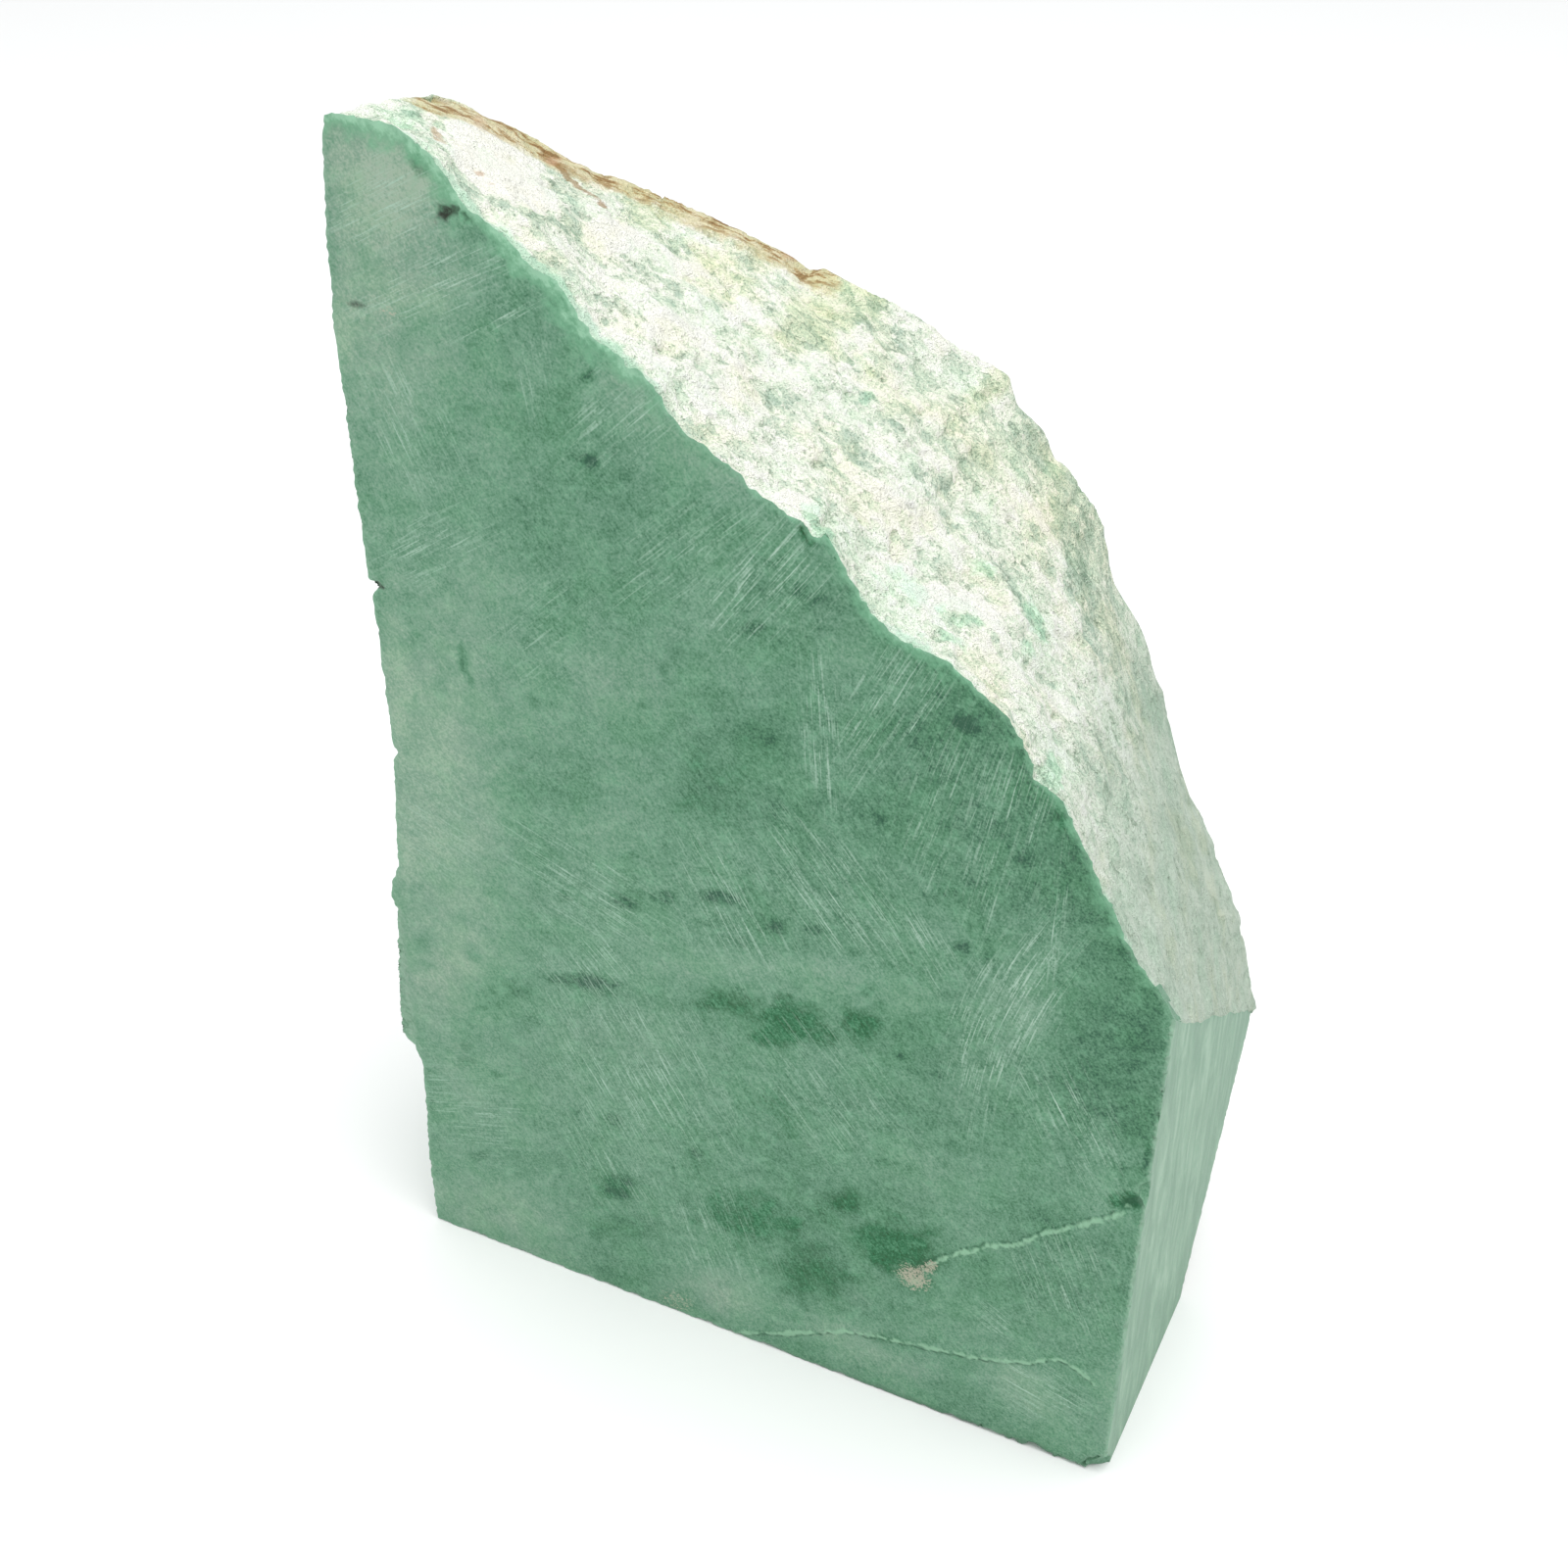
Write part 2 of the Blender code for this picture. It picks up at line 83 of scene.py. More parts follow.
# The first two DARK marks lie in the chipped notch: partly dark green stone, partly painted shade there.
DARK = (
    (73.5, 36, 1.8, 0.6, 25, 1), (74.5, 41.5, 1.5, 0.4, 85, 0.7), (22.5, 95, 0.9, 0.7, 45, 0.9),
    (21, 95, 1, 0.7, -15, 0.5), (19.2, 96.4, 0.7, 0.6, 0, 0.4), (25.5, 94.5, 1.5, 0.6, -45, 0.3),
    (22.5, 102, 0.9, 0.5, 35, 0.7), (15.5, 99.5, 1, 0.7, -30, 0.5), (12, 102.5, 1.1, 0.5, 30, 0.5),
    (11.5, 97, 1.3, 0.5, 15, 0.3), (7.5, 96, 1.3, 0.4, 5, 0.3), (30.8, 94.2, 0.5, 0.3, 20, 0.6),
    (15.6, 90, 0.5, 0.3, 30, 0.6), (18, 91.4, 0.6, 0.3, 15, 0.4), (30, 90.5, 1.2, 0.9, -10, 0.3),
    (37, 83.5, 1.7, 0.7, 25, 0.6), (35.5, 81.5, 0.9, 0.7, 40, 0.3), (42.5, 87.5, 1.3, 0.8, 25, 0.4),
    (41, 88, 0.9, 0.6, 80, 0.6), (43.5, 85.5, 1.1, 0.4, 15, 0.4), (37, 73.5, 3, 1.6, 25, 0.3),
    (38.5, 73, 0.9, 0.5, 30, 0.5), (27, 73.5, 0.9, 0.5, 25, 0.5), (29, 77, 1.1, 0.4, -80, 0.5),
    (9, 73, 1.6, 0.6, 90, 0.8), (9.5, 71, 0.9, 0.5, 85, 0.6), (6.5, 69.5, 1.7, 1, -80, 0.3),
    (16, 70.5, 1.1, 0.7, -65, 0.4), (16, 76.5, 1, 0.5, 20, 0.4), (14.6, 77.6, 0.6, 0.4, 25, 0.4),
    (25, 57, 1.2, 0.5, 25, 0.6), (33, 58, 1.3, 0.5, 15, 0.5), (35, 60, 1.1, 0.5, 25, 0.5),
    (28.5, 53.5, 1.5, 0.8, 30, 0.7), (34, 55.5, 2.5, 0.8, 15, 0.7), (24.5, 51.5, 1.8, 0.9, -5, 0.6),
    (18, 50, 1.1, 0.8, 50, 0.4), (20.5, 52, 1, 0.5, 25, 0.3), (14, 63, 1.4, 0.8, 5, 0.3),
    (39.5, 54, 1.3, 0.9, 45, 0.6), (36, 51, 2, 1.1, 30, 0.3), (32.5, 52, 1.6, 0.6, 25, 0.4),
    (43, 55, 1.3, 0.6, 25, 0.5), (47, 54, 1.4, 0.7, 25, 0.3), (2, 39, 2.5, 1.4, 60, 0.4),
    (7.5, 39.5, 1.5, 1.1, -80, 0.6), (3.5, 42.5, 1.3, 0.8, 40, 0.3), (6.5, 43.5, 1.4, 0.6, 30, 0.3),
    (1, 35.5, 2, 1.1, 30, 0.3), (19.5, 40.5, 5, 0.9, 15, 0.8), (12.5, 36.5, 2, 0.9, 15, 0.5),
    (22, 40, 3.5, 1, 20, 0.3), (7.5, 32.5, 1.8, 0.5, 35, 0.4), (13.5, 33.5, 2, 1.3, 40, 0.3),
    (9, 24.5, 1.1, 0.6, 35, 0.5), (18.5, 23.5, 1.4, 0.6, 30, 0.4), (22.5, 24, 1.5, 1, 10, 0.5),
    (22.5, 15, 2.5, 1.6, 45, 0.9), (23.5, 10, 4.5, 1.9, 30, 0.3), (20, 7.5, 1.8, 1, 40, 0.4),
    (31.5, 23.5, 1.2, 0.7, 35, 0.5), (34, 19.5, 1.1, 0.6, 35, 0.5), (6, 12, 2, 0.7, 35, 0.4),
    (9.4, 15.2, 0.6, 0.3, 45, 0.7), (11, 11.5, 1.7, 0.6, 30, 0.3), (48.5, 50.5, 0.9, 0.6, 55, 0.6),
    (49.5, 49, 1, 0.6, 35, 0.5), (56.5, 58, 1.1, 0.8, 35, 0.6), (59, 58, 1.3, 0.8, 30, 0.4),
    (55.5, 80, 1.5, 0.8, 5, 0.8), (56, 72.5, 1.5, 0.6, 20, 0.4), (48.8, 68.4, 0.7, 0.4, 25, 0.7),
    (55, 69.5, 1.9, 0.7, 20, 0.3), (61, 68.5, 1.1, 0.5, 20, 0.4), (51.4, 46.4, 0.6, 0.4, 70, 0.5),
    (51.8, 44.2, 0.5, 0.4, 50, 0.6), (55.2, 43.4, 0.7, 0.5, 70, 0.6), (59.2, 49.6, 0.7, 0.5, 70, 0.5),
    (65.5, 52.5, 1, 0.8, 65, 0.3), (72.5, 39.5, 1, 0.7, 70, 0.4), (51, 31, 1.4, 0.7, 30, 0.5),
    (53.2, 31.2, 0.7, 0.7, 0, 0.4), (20, 2, 1.6, 0.5, 30, 0.4), (30, 16.5, 1.3, 0.8, 45, 0.4),
    (31, 80, 2.5, 1.3, 10, 0.3), (68.5, 37.5, 1, 0.6, 40, 0.3), (-0.5, 49, 1.8, 0.8, 75, 0.3),
    (3, 43.5, 1.5, 1.1, 45, 0.3),
)
# The top-left entries of GREY and PALE lighten that corner partly as painted sheen.
GREY = (
    (60, 50, 9.5, 3.5, 75, 0.6), (24, 35, 8.5, 4, 25, 0.6), (25, 29.5, 3.5, 1.6, 30, 0.3),
    (4, 35, 6, 3, 70, 0.6), (25.5, 75, 5.5, 4, 35, 0.3), (43, 85.5, 4, 2.5, 0, 0.4),
    (45, 84, 2.5, 1.7, 25, 0.3), (32.5, 4.5, 5.5, 3, 25, 0.8), (48.5, 12, 5.5, 1.7, 45, 0.6),
    (54, 30.5, 5, 3, 35, 0.5), (12.5, -0.5, 6.5, 3, 15, 0.5), (6.5, 4.5, 5.5, 3.5, 35, 0.4),
    (66.5, 7.5, 5, 3.5, -15, 0.5), (51.5, 50, 4, 1.4, 25, 0.4), (16, 63, 4.5, 1.4, 15, 0.3),
    (3.5, 104, 1.6, 0.9, 20, 0.5), (4, 110, 10, 8, 80, 0.5), (68.5, 23.5, 7.5, 4, 55, 0.3),
    (31, 72, 2.5, 1, 35, 0.4), (15, 26.5, 6.5, 3, 30, 0.3), (52, 4, 6, 2.5, 15, 0.4),
    (43.5, 4, 5, 1.5, 30, 0.5),
)
PALE = (
    (30.5, 46.5, 15, 2, 20, 0.7), (44, 51, 6.5, 1.7, 15, 0.6), (9.5, 40.5, 7, 3, 25, 0.3),
    (13.5, 53.5, 6, 3, 0, 0.2), (17.5, 72.5, 7, 5, 40, 0.5), (5, 62.5, 17.5, 3.5, 85, 0.6),
    (7.5, 23.5, 9, 5, 70, 0.4), (13, 19, 7.5, 3, 30, 0.3), (58, 17.5, 3.5, 0.8, 70, 0.6),
    (3.5, 16.5, 6, 3.5, 65, 0.3), (4.5, 115.5, 5.5, 4, 50, 0.5), (3, 105, 8.5, 3.5, 80, 0.3),
    (-0.5, 29.5, 8, 1.2, 85, 0.5), (24.5, 47, 7.5, 1.5, 20, 0.4), (62, 8, 6.5, 3, 5, 0.3),
    (55, 0, 5.5, 3.5, 0, 0.3),
)
PINK = (
    (54.5, 17.5, 1.6, 1.5, 30, 1), (56, 19.5, 1, 0.6, 60, 0.8), (29, 1.5, 2, 1.4, 25, 0.3),
    (4.5, 104, 0.8, 0.4, 10, 0.4),
)
BLACK = (
    (10.5, 113, 0.9, 0.5, 40, 1), (11.4, 113.4, 0.6, 0.3, 35, 0.9), (12.4, 113, 0.7, 0.2, -35, 0.8),
    (3.4, 104.2, 0.6, 0.3, -15, 0.8), (1.5, 104, 1.8, 0.2, 5, 0.5), (0.6, 78, 0.7, 0.3, 0, 1),
    (0.4, 60.8, 0.5, 0.2, 0, 0.9), (9, 111.5, 1, 0.2, 35, 0.4), (10.6, 110.8, 0.7, 0.2, -55, 0.3),
    (-1, 94.5, 1.1, 0.2, 85, 0.5), (8.5, 111, 1.4, 0.2, 30, 0.3),
)
DEEP = (
    (70, 51.5, 13, 5.5, -90, 1), (58, 72, 12.5, 11, -75, 0.8), (43, 65.5, 13, 10, 50, 0.5),
    (26, 91.5, 10.5, 9, -10, 0.2), (44, 82, 9.5, 9, 0, 0.3), (68, 26, 9.5, 6.5, 70, 0.6),
    (55.5, 43, 11.5, 8, 50, 0.4), (43, 18, 15, 8, 15, 0.3), (32.5, 64, 9.5, 6.5, 40, 0.3),
)
# Whitish scuffed haze, and at the top left partly painted sheen.
HAZE_AND_SHEEN = (
    (4, 115, 6.5, 5.5, 0, 0.8), (0, 102, 6, 1.3, 80, 0.5), (1.5, 69, 10, 1.6, 85, 0.9),
    (0.5, 51.5, 7.5, 1.5, 85, 0.5), (60.5, 50.5, 10.5, 3, 75, 0.1), (66.5, 7.5, 5, 3, -15, 0.3),
    (25.5, 75, 4.5, 3.5, 40, 0.2), (-2, 12.5, 9, 1.9, 85, 0.4), (8.5, 106, 6, 1.5, 25, 0.3),
    (45.5, 83.5, 3, 2.5, 60, 0.3), (70.5, 40, 4.5, 2.5, 85, 0.2), (52.5, 4.5, 5, 1.7, 15, 0.4),
    (2, 7.5, 5.5, 3, 60, 0.3), (5, 105.5, 4, 2.5, 20, 0.4),
)
# Paler zones towards the left and the bottom: partly the stone's paler tone, partly painted sheen.
WASHED_AND_SHEEN = (
    (4.5, 103, 19, 7.5, 80, 0.5), (5.5, 53, 28, 7.5, 85, 0.8), (7.5, 5, 10, 5, 20, 0.6),
    (25, 61.5, 6.5, 4, 70, 0.3), (48, 6, 5, 3, 20, 0.6), (35.5, 6.5, 6, 3.5, 5, 0.5),
    (31, 99.5, 8, 4, -30, 0.6), (76, 11.5, 7.5, 3, -90, 0.6), (10.5, 96.5, 7, 5, 30, 0.3),
    (70, 33, 4, 3, 55, 0.4), (10.5, 80.5, 7.5, 5.5, 60, 0.3), (40.5, 48.5, 10.5, 2, 15, 0.2),
)
CHIPPED = ((74, 36, 1.6, 0.7, 25, 1), (74.8, 42, 1.4, 0.4, 85, 0.6))
CHIPPED_DEPTH, BLACK_DEPTH, PINK_DEPTH = 0.45, 0.35, 0.16

# ---- fans of scratches on the front: (x, z, half length, half width, turn in degrees, strength,
# and the bend in 1/mm of a fan that has one). A point takes the strongest fan of each set.
FANS_A = (
    (5, 112.5, 7, 4, 30, 1.1), (26, 100.5, 8.5, 4.5, 45, 0.6), (38, 88.5, 10.5, 5.5, 55, 0.8),
    (48.5, 78.5, 8.5, 4.5, 65, 0.8), (60.5, 52, 14, 4.5, 75, 1.1, 0.016), (20.5, 52, 10, 6, -20, 0.8),
    (25, 32, 12.5, 12, -60, 0.8), (68, 7.5, 5.5, 5, -15, 0.9), (5.5, 18.5, 7.5, 8, 20, 0.5),
    (5.5, 83, 9, 4, 35, 0.6),
)
FANS_B = (
    (9, 107, 10.5, 3.5, 30, 0.9), (5.5, 94, 8, 5.5, -65, 0.6), (43, 75, 11.5, 2, -85, 0.8),
    (59, 70.5, 11.5, 4.5, 80, 0.6), (44.5, 60, 9.5, 6.5, -50, 0.8), (5, 54, 6.5, 7, -20, 0.45),
    (19.5, 44, 7.5, 7, -45, 0.6), (67.5, 42.5, 8.5, 4.5, -60, 0.8), (69, 24, 7.5, 6.5, -65, 0.5),
    (32.5, 14, 11, 8, -70, 0.4),
)
FANS_C = (
    (15, 105.5, 6.5, 1, 35, 0.8), (18, 100.5, 4, 3, -80, 0.35), (35, 54.5, 10.5, 7, -60, 0.6),
    (54, 71, 10, 4, 75, 0.5), (64.5, 63.5, 8.5, 1, -90, 0.9), (45.5, 36.5, 9.5, 9, -50, 0.5),
    (62, 16, 3.5, 2, -30, 0.7), (18, 78.5, 8.5, 5, 45, 0.3), (21.5, 20, 9.5, 7, -60, 0.5),
    (53, 57.5, 6, 4, -55, 0.7), (31, 89, 11.5, 4.5, 45, 0.45),
)
FAN_SHIFT = 37.0         # from fan to fan, so that no two have the same scratches

# ---- marks on the rind: (s, y, half length, half width, turn in degrees, strength), where s is
# the distance along RIDGE_LINE, the direction of the front ridge
RIDGE_LINE = (0.73, 0.0, -0.68)
CREAM = (
    (-71, 10, 6.5, 4, -70, 1), (-67, 10, 4, 1.9, -70, 0.9), (-60.5, 13, 4, 2, 75, 0.8),
    (-51, 8.5, 6.5, 2.5, 65, 0.4), (-41.5, 23, 3, 1.8, 65, 0.4), (-55, 16, 4, 2.5, 60, 0.4),
    (-35, 2, 1.9, 1, 15, 0.9), (-33, 10, 2.5, 1.1, 5, 0.8), (-22, 7, 4, 1.5, 45, 0.6),
    (-44.5, 12.5, 5, 1.2, 55, 0.4), (-26, 12.5, 3.5, 1.6, 35, 0.4), (-19, 9.5, 3, 1.9, -10, 0.5),
    (-54, 4, 2, 1.8, 75, 0.4), (-16.5, 6, 2.5, 1.4, -10, 0.4), (18, 29.5, 3, 1.4, 45, 0.6),
    (21.5, 31, 2.5, 0.4, 65, 0.6), (27.5, 27, 1.7, 0.8, 55, 0.5),
)
RUST = (
    (-75, 6.5, 2, 0.5, -65, 1), (-74, 6, 1.1, 0.4, -65, 0.8), (-70.4, 6.4, 0.6, 0.4, -75, 1),
    (-69.2, 6, 0.5, 0.4, -85, 0.6), (-71.4, 11.8, 0.5, 0.4, -85, 0.5), (-66.6, 10.6, 0.4, 0.4, -75, 0.5),
    (-50.5, 28, 0.9, 0.4, 50, 0.8), (-69, 18.5, 1.4, 0.6, 85, 1), (-75, 15, 2, 0.7, -70, 0.8),
)
BEIGE = (
    (-26.5, 24.5, 6.5, 6, 55, 0.8), (-32.5, 24, 4.5, 3.5, 45, 0.6), (-19, 29.5, 6.5, 6, 75, 0.8),
    (-19.5, 21, 5, 4.5, -40, 0.4), (-53.5, 19.5, 3.5, 3, 85, 0.5), (-53, 24.5, 6.5, 3, -80, 0.5),
    (-46, 29.5, 3.5, 1.2, 25, 0.8), (-62, 23, 3, 0.8, 5, 0.5), (-47, 24, 4, 3, 25, 0.3),
    (-14, 2, 1.5, 1.2, 5, 0.6), (-77.5, 14, 6.5, 1.2, -80, 0.6),
)
MOTTLE = (
    (-65.5, 13.5, 5, 1.6, -55, 0.6), (-63.5, 7.5, 4, 0.9, 50, 0.7), (-60.5, 10.5, 1, 0.8, 70, 0.7),
    (-67, 3.5, 1.2, 0.8, 50, 0.6), (-55, 3, 1, 0.5, 80, 0.7), (-54, 9.5, 1.3, 0.8, 70, 0.6),
    (-51, 16, 1.9, 0.9, 80, 0.6), (-46.5, 6.5, 1.3, 0.8, -85, 0.6), (-47.5, 3.5, 1.5, 0.5, 65, 0.4),
    (-52.5, 23.5, 2, 1.2, -80, 0.5), (-47, 18.5, 2, 1.7, 75, 0.4), (-43, 20.5, 0.9, 0.5, -15, 0.6),
    (-39.5, 20.5, 1.3, 0.5, -35, 0.7), (-42, 11.5, 2, 1.1, 55, 0.5), (-40.2, 16, 0.7, 0.4, 85, 0.6),
    (-38, 18, 1.7, 0.8, 65, 0.7), (-34.5, 18.5, 2.5, 1.6, 85, 0.7), (-34.5, 11.5, 3, 1.3, -45, 0.6),
    (-36, 9.5, 1.2, 0.8, -60, 0.5), (-32, 20, 1.3, 0.7, 80, 0.5), (-28, 17.5, 2.5, 0.8, 35, 0.6),
    (-32, 7, 1.3, 0.4, 65, 0.5), (-28.5, 6, 1.5, 0.7, 30, 0.5), (-41, 4, 0.9, 0.5, 70, 0.5),
    (-42.5, 29, 6.5, 1.5, 90, 0.5), (-38.5, 28, 1.9, 1.4, 35, 0.4), (-23, 17.5, 2.5, 0.7, -10, 0.8),
    (-18.5, 15, 2.5, 0.9, -20, 0.8), (-14.5, 14.5, 1.4, 0.9, -5, 0.7), (-19.5, 23, 1, 0.5, -50, 0.6),
    (-17, 21.5, 1.4, 1, -5, 0.6), (-14, 25.5, 3.5, 2, -70, 0.9), (-10.5, 22, 3, 2, -70, 0.7),
    (-27.5, 32.5, 6.5, 2, 85, 0.2), (-1, 11, 5.5, 4, 30, 0.6), (-1.5, 30, 3.5, 2.5, 45, 0.4),
    (2.5, 34.5, 6.5, 2, 70, 0.6), (-70.5, 2, 3, 1.7, -45, 0.4), (-78.5, 9.5, 4, 1.3, -60, 0.5),
    (-57, 19, 2.5, 1.4, 50, 0.4), (-57.5, 10, 3, 1.1, 55, 0.3), (-34, 27.5, 1.8, 1, 40, 0.3),
    (-61, 1, 1.9, 1.3, 35, 0.3), (-38.5, 10.5, 2, 1.5, -10, 0.3), (-53.5, 13, 1.5, 0.6, 75, 0.4),
    (11.5, 25, 5.5, 3, 45, 0.3),
)
GREEN = (
    (-34, 2, 1.2, 0.9, 80, 0.8), (-32.5, 1, 1.4, 0.9, -20, 1), (-21.5, 6, 1, 0.5, 70, 0.6),
    (-19.5, 7, 1.4, 0.7, 50, 0.6), (-21, 13.5, 1.1, 1, -75, 0.7), (-15.5, 15, 1.4, 1.1, -90, 0.8),
    (-14, 14, 1.2, 0.8, 50, 0.6), (-6.5, 2, 2, 1.2, -75, 1), (-24.5, 5, 2.5, 1.8, 30, 0.5),
    (-26, 4, 1.7, 1.1, 40, 0.4), (-19, 4, 1.9, 0.9, 40, 0.7), (-14, 10.5, 1.1, 0.8, 0, 0.5),
    (-37.5, 18.5, 1, 0.6, 75, 0.5), (-79, 13.5, 5, 0.7, -90, 0.4), (-77.5, 7, 5.5, 1.4, -75, 0.4),
    (-53.5, 0.5, 1.1, 0.9, -85, 0.5), (-51, 0, 1, 0.8, 15, 0.6), (-59.5, 0, 1.3, 1, 25, 0.7),
    (-65, 0.5, 1.2, 1.1, -45, 0.7), (-22, 31.5, 1.6, 1.2, -85, 0.4),
)
OLIVE = (
    (-45, 28.5, 13, 3, 85, 0.9), (-53.5, 20.5, 3.5, 2, -5, 0.6), (-52.5, 16.5, 2, 1.4, 30, 0.6),
    (-43.5, 20.5, 3.5, 1.3, 10, 0.6), (-71.5, 19, 2.5, 0.6, 20, 0.7), (-61, 21.5, 4, 2.5, -75, 0.6),
    (-50.5, 19.5, 2, 1.2, -15, 0.5), (-47, 24, 2.5, 1.5, 15, 0.4), (-57, 18.5, 2, 1.1, 35, 0.4),
    (-40, 22, 1.7, 0.6, -20, 0.5), (-31, 31.5, 7, 1.3, 90, 0.6),
)
# Beyond this line the roof rolls over to the smoother far shoulder, painted darker as shade: y = depth -
# slope * s.
SHOULDER_DEPTH, SHOULDER_SLOPE = 17.9, 0.43
# Iron stain along the roof's back edge, as a line of (x, y, z), and a thin crack beside it.
IRON_BAND = (
    (1.5, 12.2, 116.6), (2.9, 14.6, 115.6), (4.9, 16.6, 114.4), (6.9, 18.4, 112.4), (10.1, 20.2, 110.7),
    (13, 22.2, 109), (15.6, 23.6, 107.6), (18.3, 24.8, 106.2), (21.5, 26, 104.7), (24.5, 27.3, 103.2),
    (27.6, 28.2, 101.9), (29, 28.6, 101.2),
)
IRON_CRACK = (
    (8, 18.9, 111.3), (10.3, 18, 110.6), (12, 17.8, 109.8), (15.1, 16.2, 109.2),
)

# The rind's far outline, as (x, y, z, how far it stands out beyond the part's coarse facets).
SKYLINE = (
    (0.2, 1, 119, -0.4), (0.3, 4, 118, 0.3), (0, 10, 117.5, 0.2), (-0.2, 14.5, 117, -0.4),
    (1.5, 16, 116, 0), (5, 18, 113.5, 0), (7, 19.5, 112, 0.5), (10, 20.5, 110.5, 0.2), (12, 22, 109, 0.5),
    (14.5, 23, 108, 0.6), (16, 23.5, 107, 1.4), (18, 24.5, 106, 0.9), (20.5, 25.5, 105, 0.8),
    (23.5, 26.5, 103.5, 1), (26, 28, 102.5, 0.6), (28, 29, 102, -0.1), (29, 29, 101.5, 0.7),
    (33, 30, 100, 0.2), (39, 32, 97, 0.3), (41, 32.5, 96, -0.4), (43.5, 32.5, 94.5, 0.4),
    (45, 33, 93, 0.9), (46.5, 33, 91.5, -0.1), (49, 33.5, 89, 0.2), (50, 33.5, 87, -0.2),
    (51, 34, 86, 0.2), (54, 34.5, 82, 0.3), (55.5, 34.5, 79, 0.3), (56.5, 34.5, 76.5, -0.5),
    (57.5, 34.5, 73.5, 0.4), (59.5, 35.5, 69.5, 0.9), (62.5, 35, 63.5, 0.2), (65, 35, 57.5, -0.1),
    (68.5, 36, 50.5, -0.4), (71.5, 36.5, 42.5, 0.1), (74, 37, 34, 0.3), (75, 37, 29, 0.5),
)
SKYLINE_REACH = 2.0

# Width of the bright mint rim along the front ridge, as (x, width). The rim is partly a paler
# bruised edge and partly painted glow of light through the thin edge.
RIM_WIDTHS = (
    (-2, 1), (6.4, 1.6), (10.4, 1.9), (13.7, 1.2), (17.8, 1.6), (21.2, 1.8), (25.3, 1.4), (31.1, 0.6),
    (39.5, 0.5), (43.7, 0.7), (50.4, 1.2), (54.6, 0.9), (59.7, 0.6), (63.8, 0.8), (68.1, 0.8),
    (74.2, 0.6),
)

# ---- veins on the front face, as lines of (x, z)
VEINS = (
    (
        (73.6, 35.4), (72.7, 34.1), (69.4, 31.3), (66, 28.5), (64.3, 26.5), (61.5, 25), (59.3, 23.1),
        (57.4, 21.5), (56, 20), (55.3, 18.8),
    ),
    (
        (35.6, 0.2), (37.2, 0.9), (40.1, 2.3), (44.4, 4.7), (47.3, 6.4), (50.6, 7.4), (52.2, 7.7),
        (57.7, 8.9), (61.7, 9.8), (65.5, 11.3), (69.2, 13.7), (71.1, 13.3), (72.8, 12.2),
    ),
)
VEIN_HEIGHT, VEIN_WIDTH = 0.10, 0.24
VEIN_STEP, VEIN_STEP_WIDTH = 0.06, 3.0      # the face steps back this much below a vein
VEIN_TOP = 40.0                             # no vein reaches this height

# The chipped front foot stands clear of the floor by at least FOOT_LIFT; the lift fades over
# this depth and height.
FOOT_LIFT, FOOT_DEPTH, FOOT_HEIGHT = 0.07, 1.6, 2.4

# ---- camera, fitted to the stone's square corners: place in block mm, angles in degrees
CAMERA_PLACE = (101.85, -133.15, 170.98)
CAMERA_PITCH, CAMERA_TURN, CAMERA_ROLL = 34.457, 24.931, 1.126
FOCAL_PIXELS, IMAGE_WIDTH, SENSOR = 2200.0, 1600.0, 36.0

random.seed(7)
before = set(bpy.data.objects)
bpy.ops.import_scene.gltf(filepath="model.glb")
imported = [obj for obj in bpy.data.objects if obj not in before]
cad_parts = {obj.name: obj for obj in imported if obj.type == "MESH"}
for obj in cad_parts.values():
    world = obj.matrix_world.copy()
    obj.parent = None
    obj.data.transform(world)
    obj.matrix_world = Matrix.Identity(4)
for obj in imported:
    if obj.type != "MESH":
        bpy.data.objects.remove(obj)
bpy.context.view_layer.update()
stone_low, stone_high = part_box(NODE)
CORNER = Vector((stone_high.x - BASE_WIDTH * MM, stone_low.y, stone_low.z))
TO_BLOCK = Matrix.Scale(1.0 / MM, 4) @ Matrix.Translation(-CORNER)
TO_ROW = TO_BLOCK.inverted()


# ==== meshing
# Saw planes: the axis across the plane, its place, the way it faces, and the axes in the plane.
SAW_PLANES = {
    "front": (1, 0.0, -1, (0, 2)),
    "right": (0, BASE_WIDTH, 1, (1, 2)),
    "base": (2, 0.0, -1, (1, 0)),
}


def plane_of(face):
    """Name of the saw plane that a face lies in, or None."""
    for name, (axis, place, way, _) in SAW_PLANES.items():
        if face.normal[axis] * way > FACING:
            if all(abs(v.co[axis] - place) < ON_PLANE for v in face.verts):
                return name
    return None


def sawn_wall(p):
    """True where the left side is sawn; rind covers its back and its top back corner."""
    return p.y < WALL_DEPTH and p.z + WALL_FALL * p.y < WALL_TOP


def trimmed(points, a, b, c, region):
    """A small triangle, with its region set anew where it lies in the flat of the left side."""
    corners = (points[a], points[b], points[c])
    if region in (LEFT, RIND) and geometry.normal(corners).x < -0.9:
        region = LEFT if sawn_wall(sum(corners, Vector()) / 3) else RIND
    return (a, b, c, region)


def region_of(face):
    """Region of a face that is in no saw plane."""
    c = face.calc_center_median()
    in_band = c.x < BAND_REACH and BAND_LOW < c.z < BAND_HIGH
    if c.x < WALL_REACH and (face.normal.x < -0.3 or in_band) and sawn_wall(c):
        return LEFT
    if c.y < BEVEL_DEPTH and (c.x > BASE_WIDTH - BEVEL_WIDTH or c.z < BEVEL_HEIGHT):
        return CHIP
    return RIND


def roof_edge_height(x):
    """Rough height of the roof's back edge."""
    past = x - ROOF_BEND
    if past < 0.0:
        return ROOF_TOP - ROOF_FALL * x
    return BEND_TOP - BEND_CURVE * past ** 2 - BEND_FALL * past


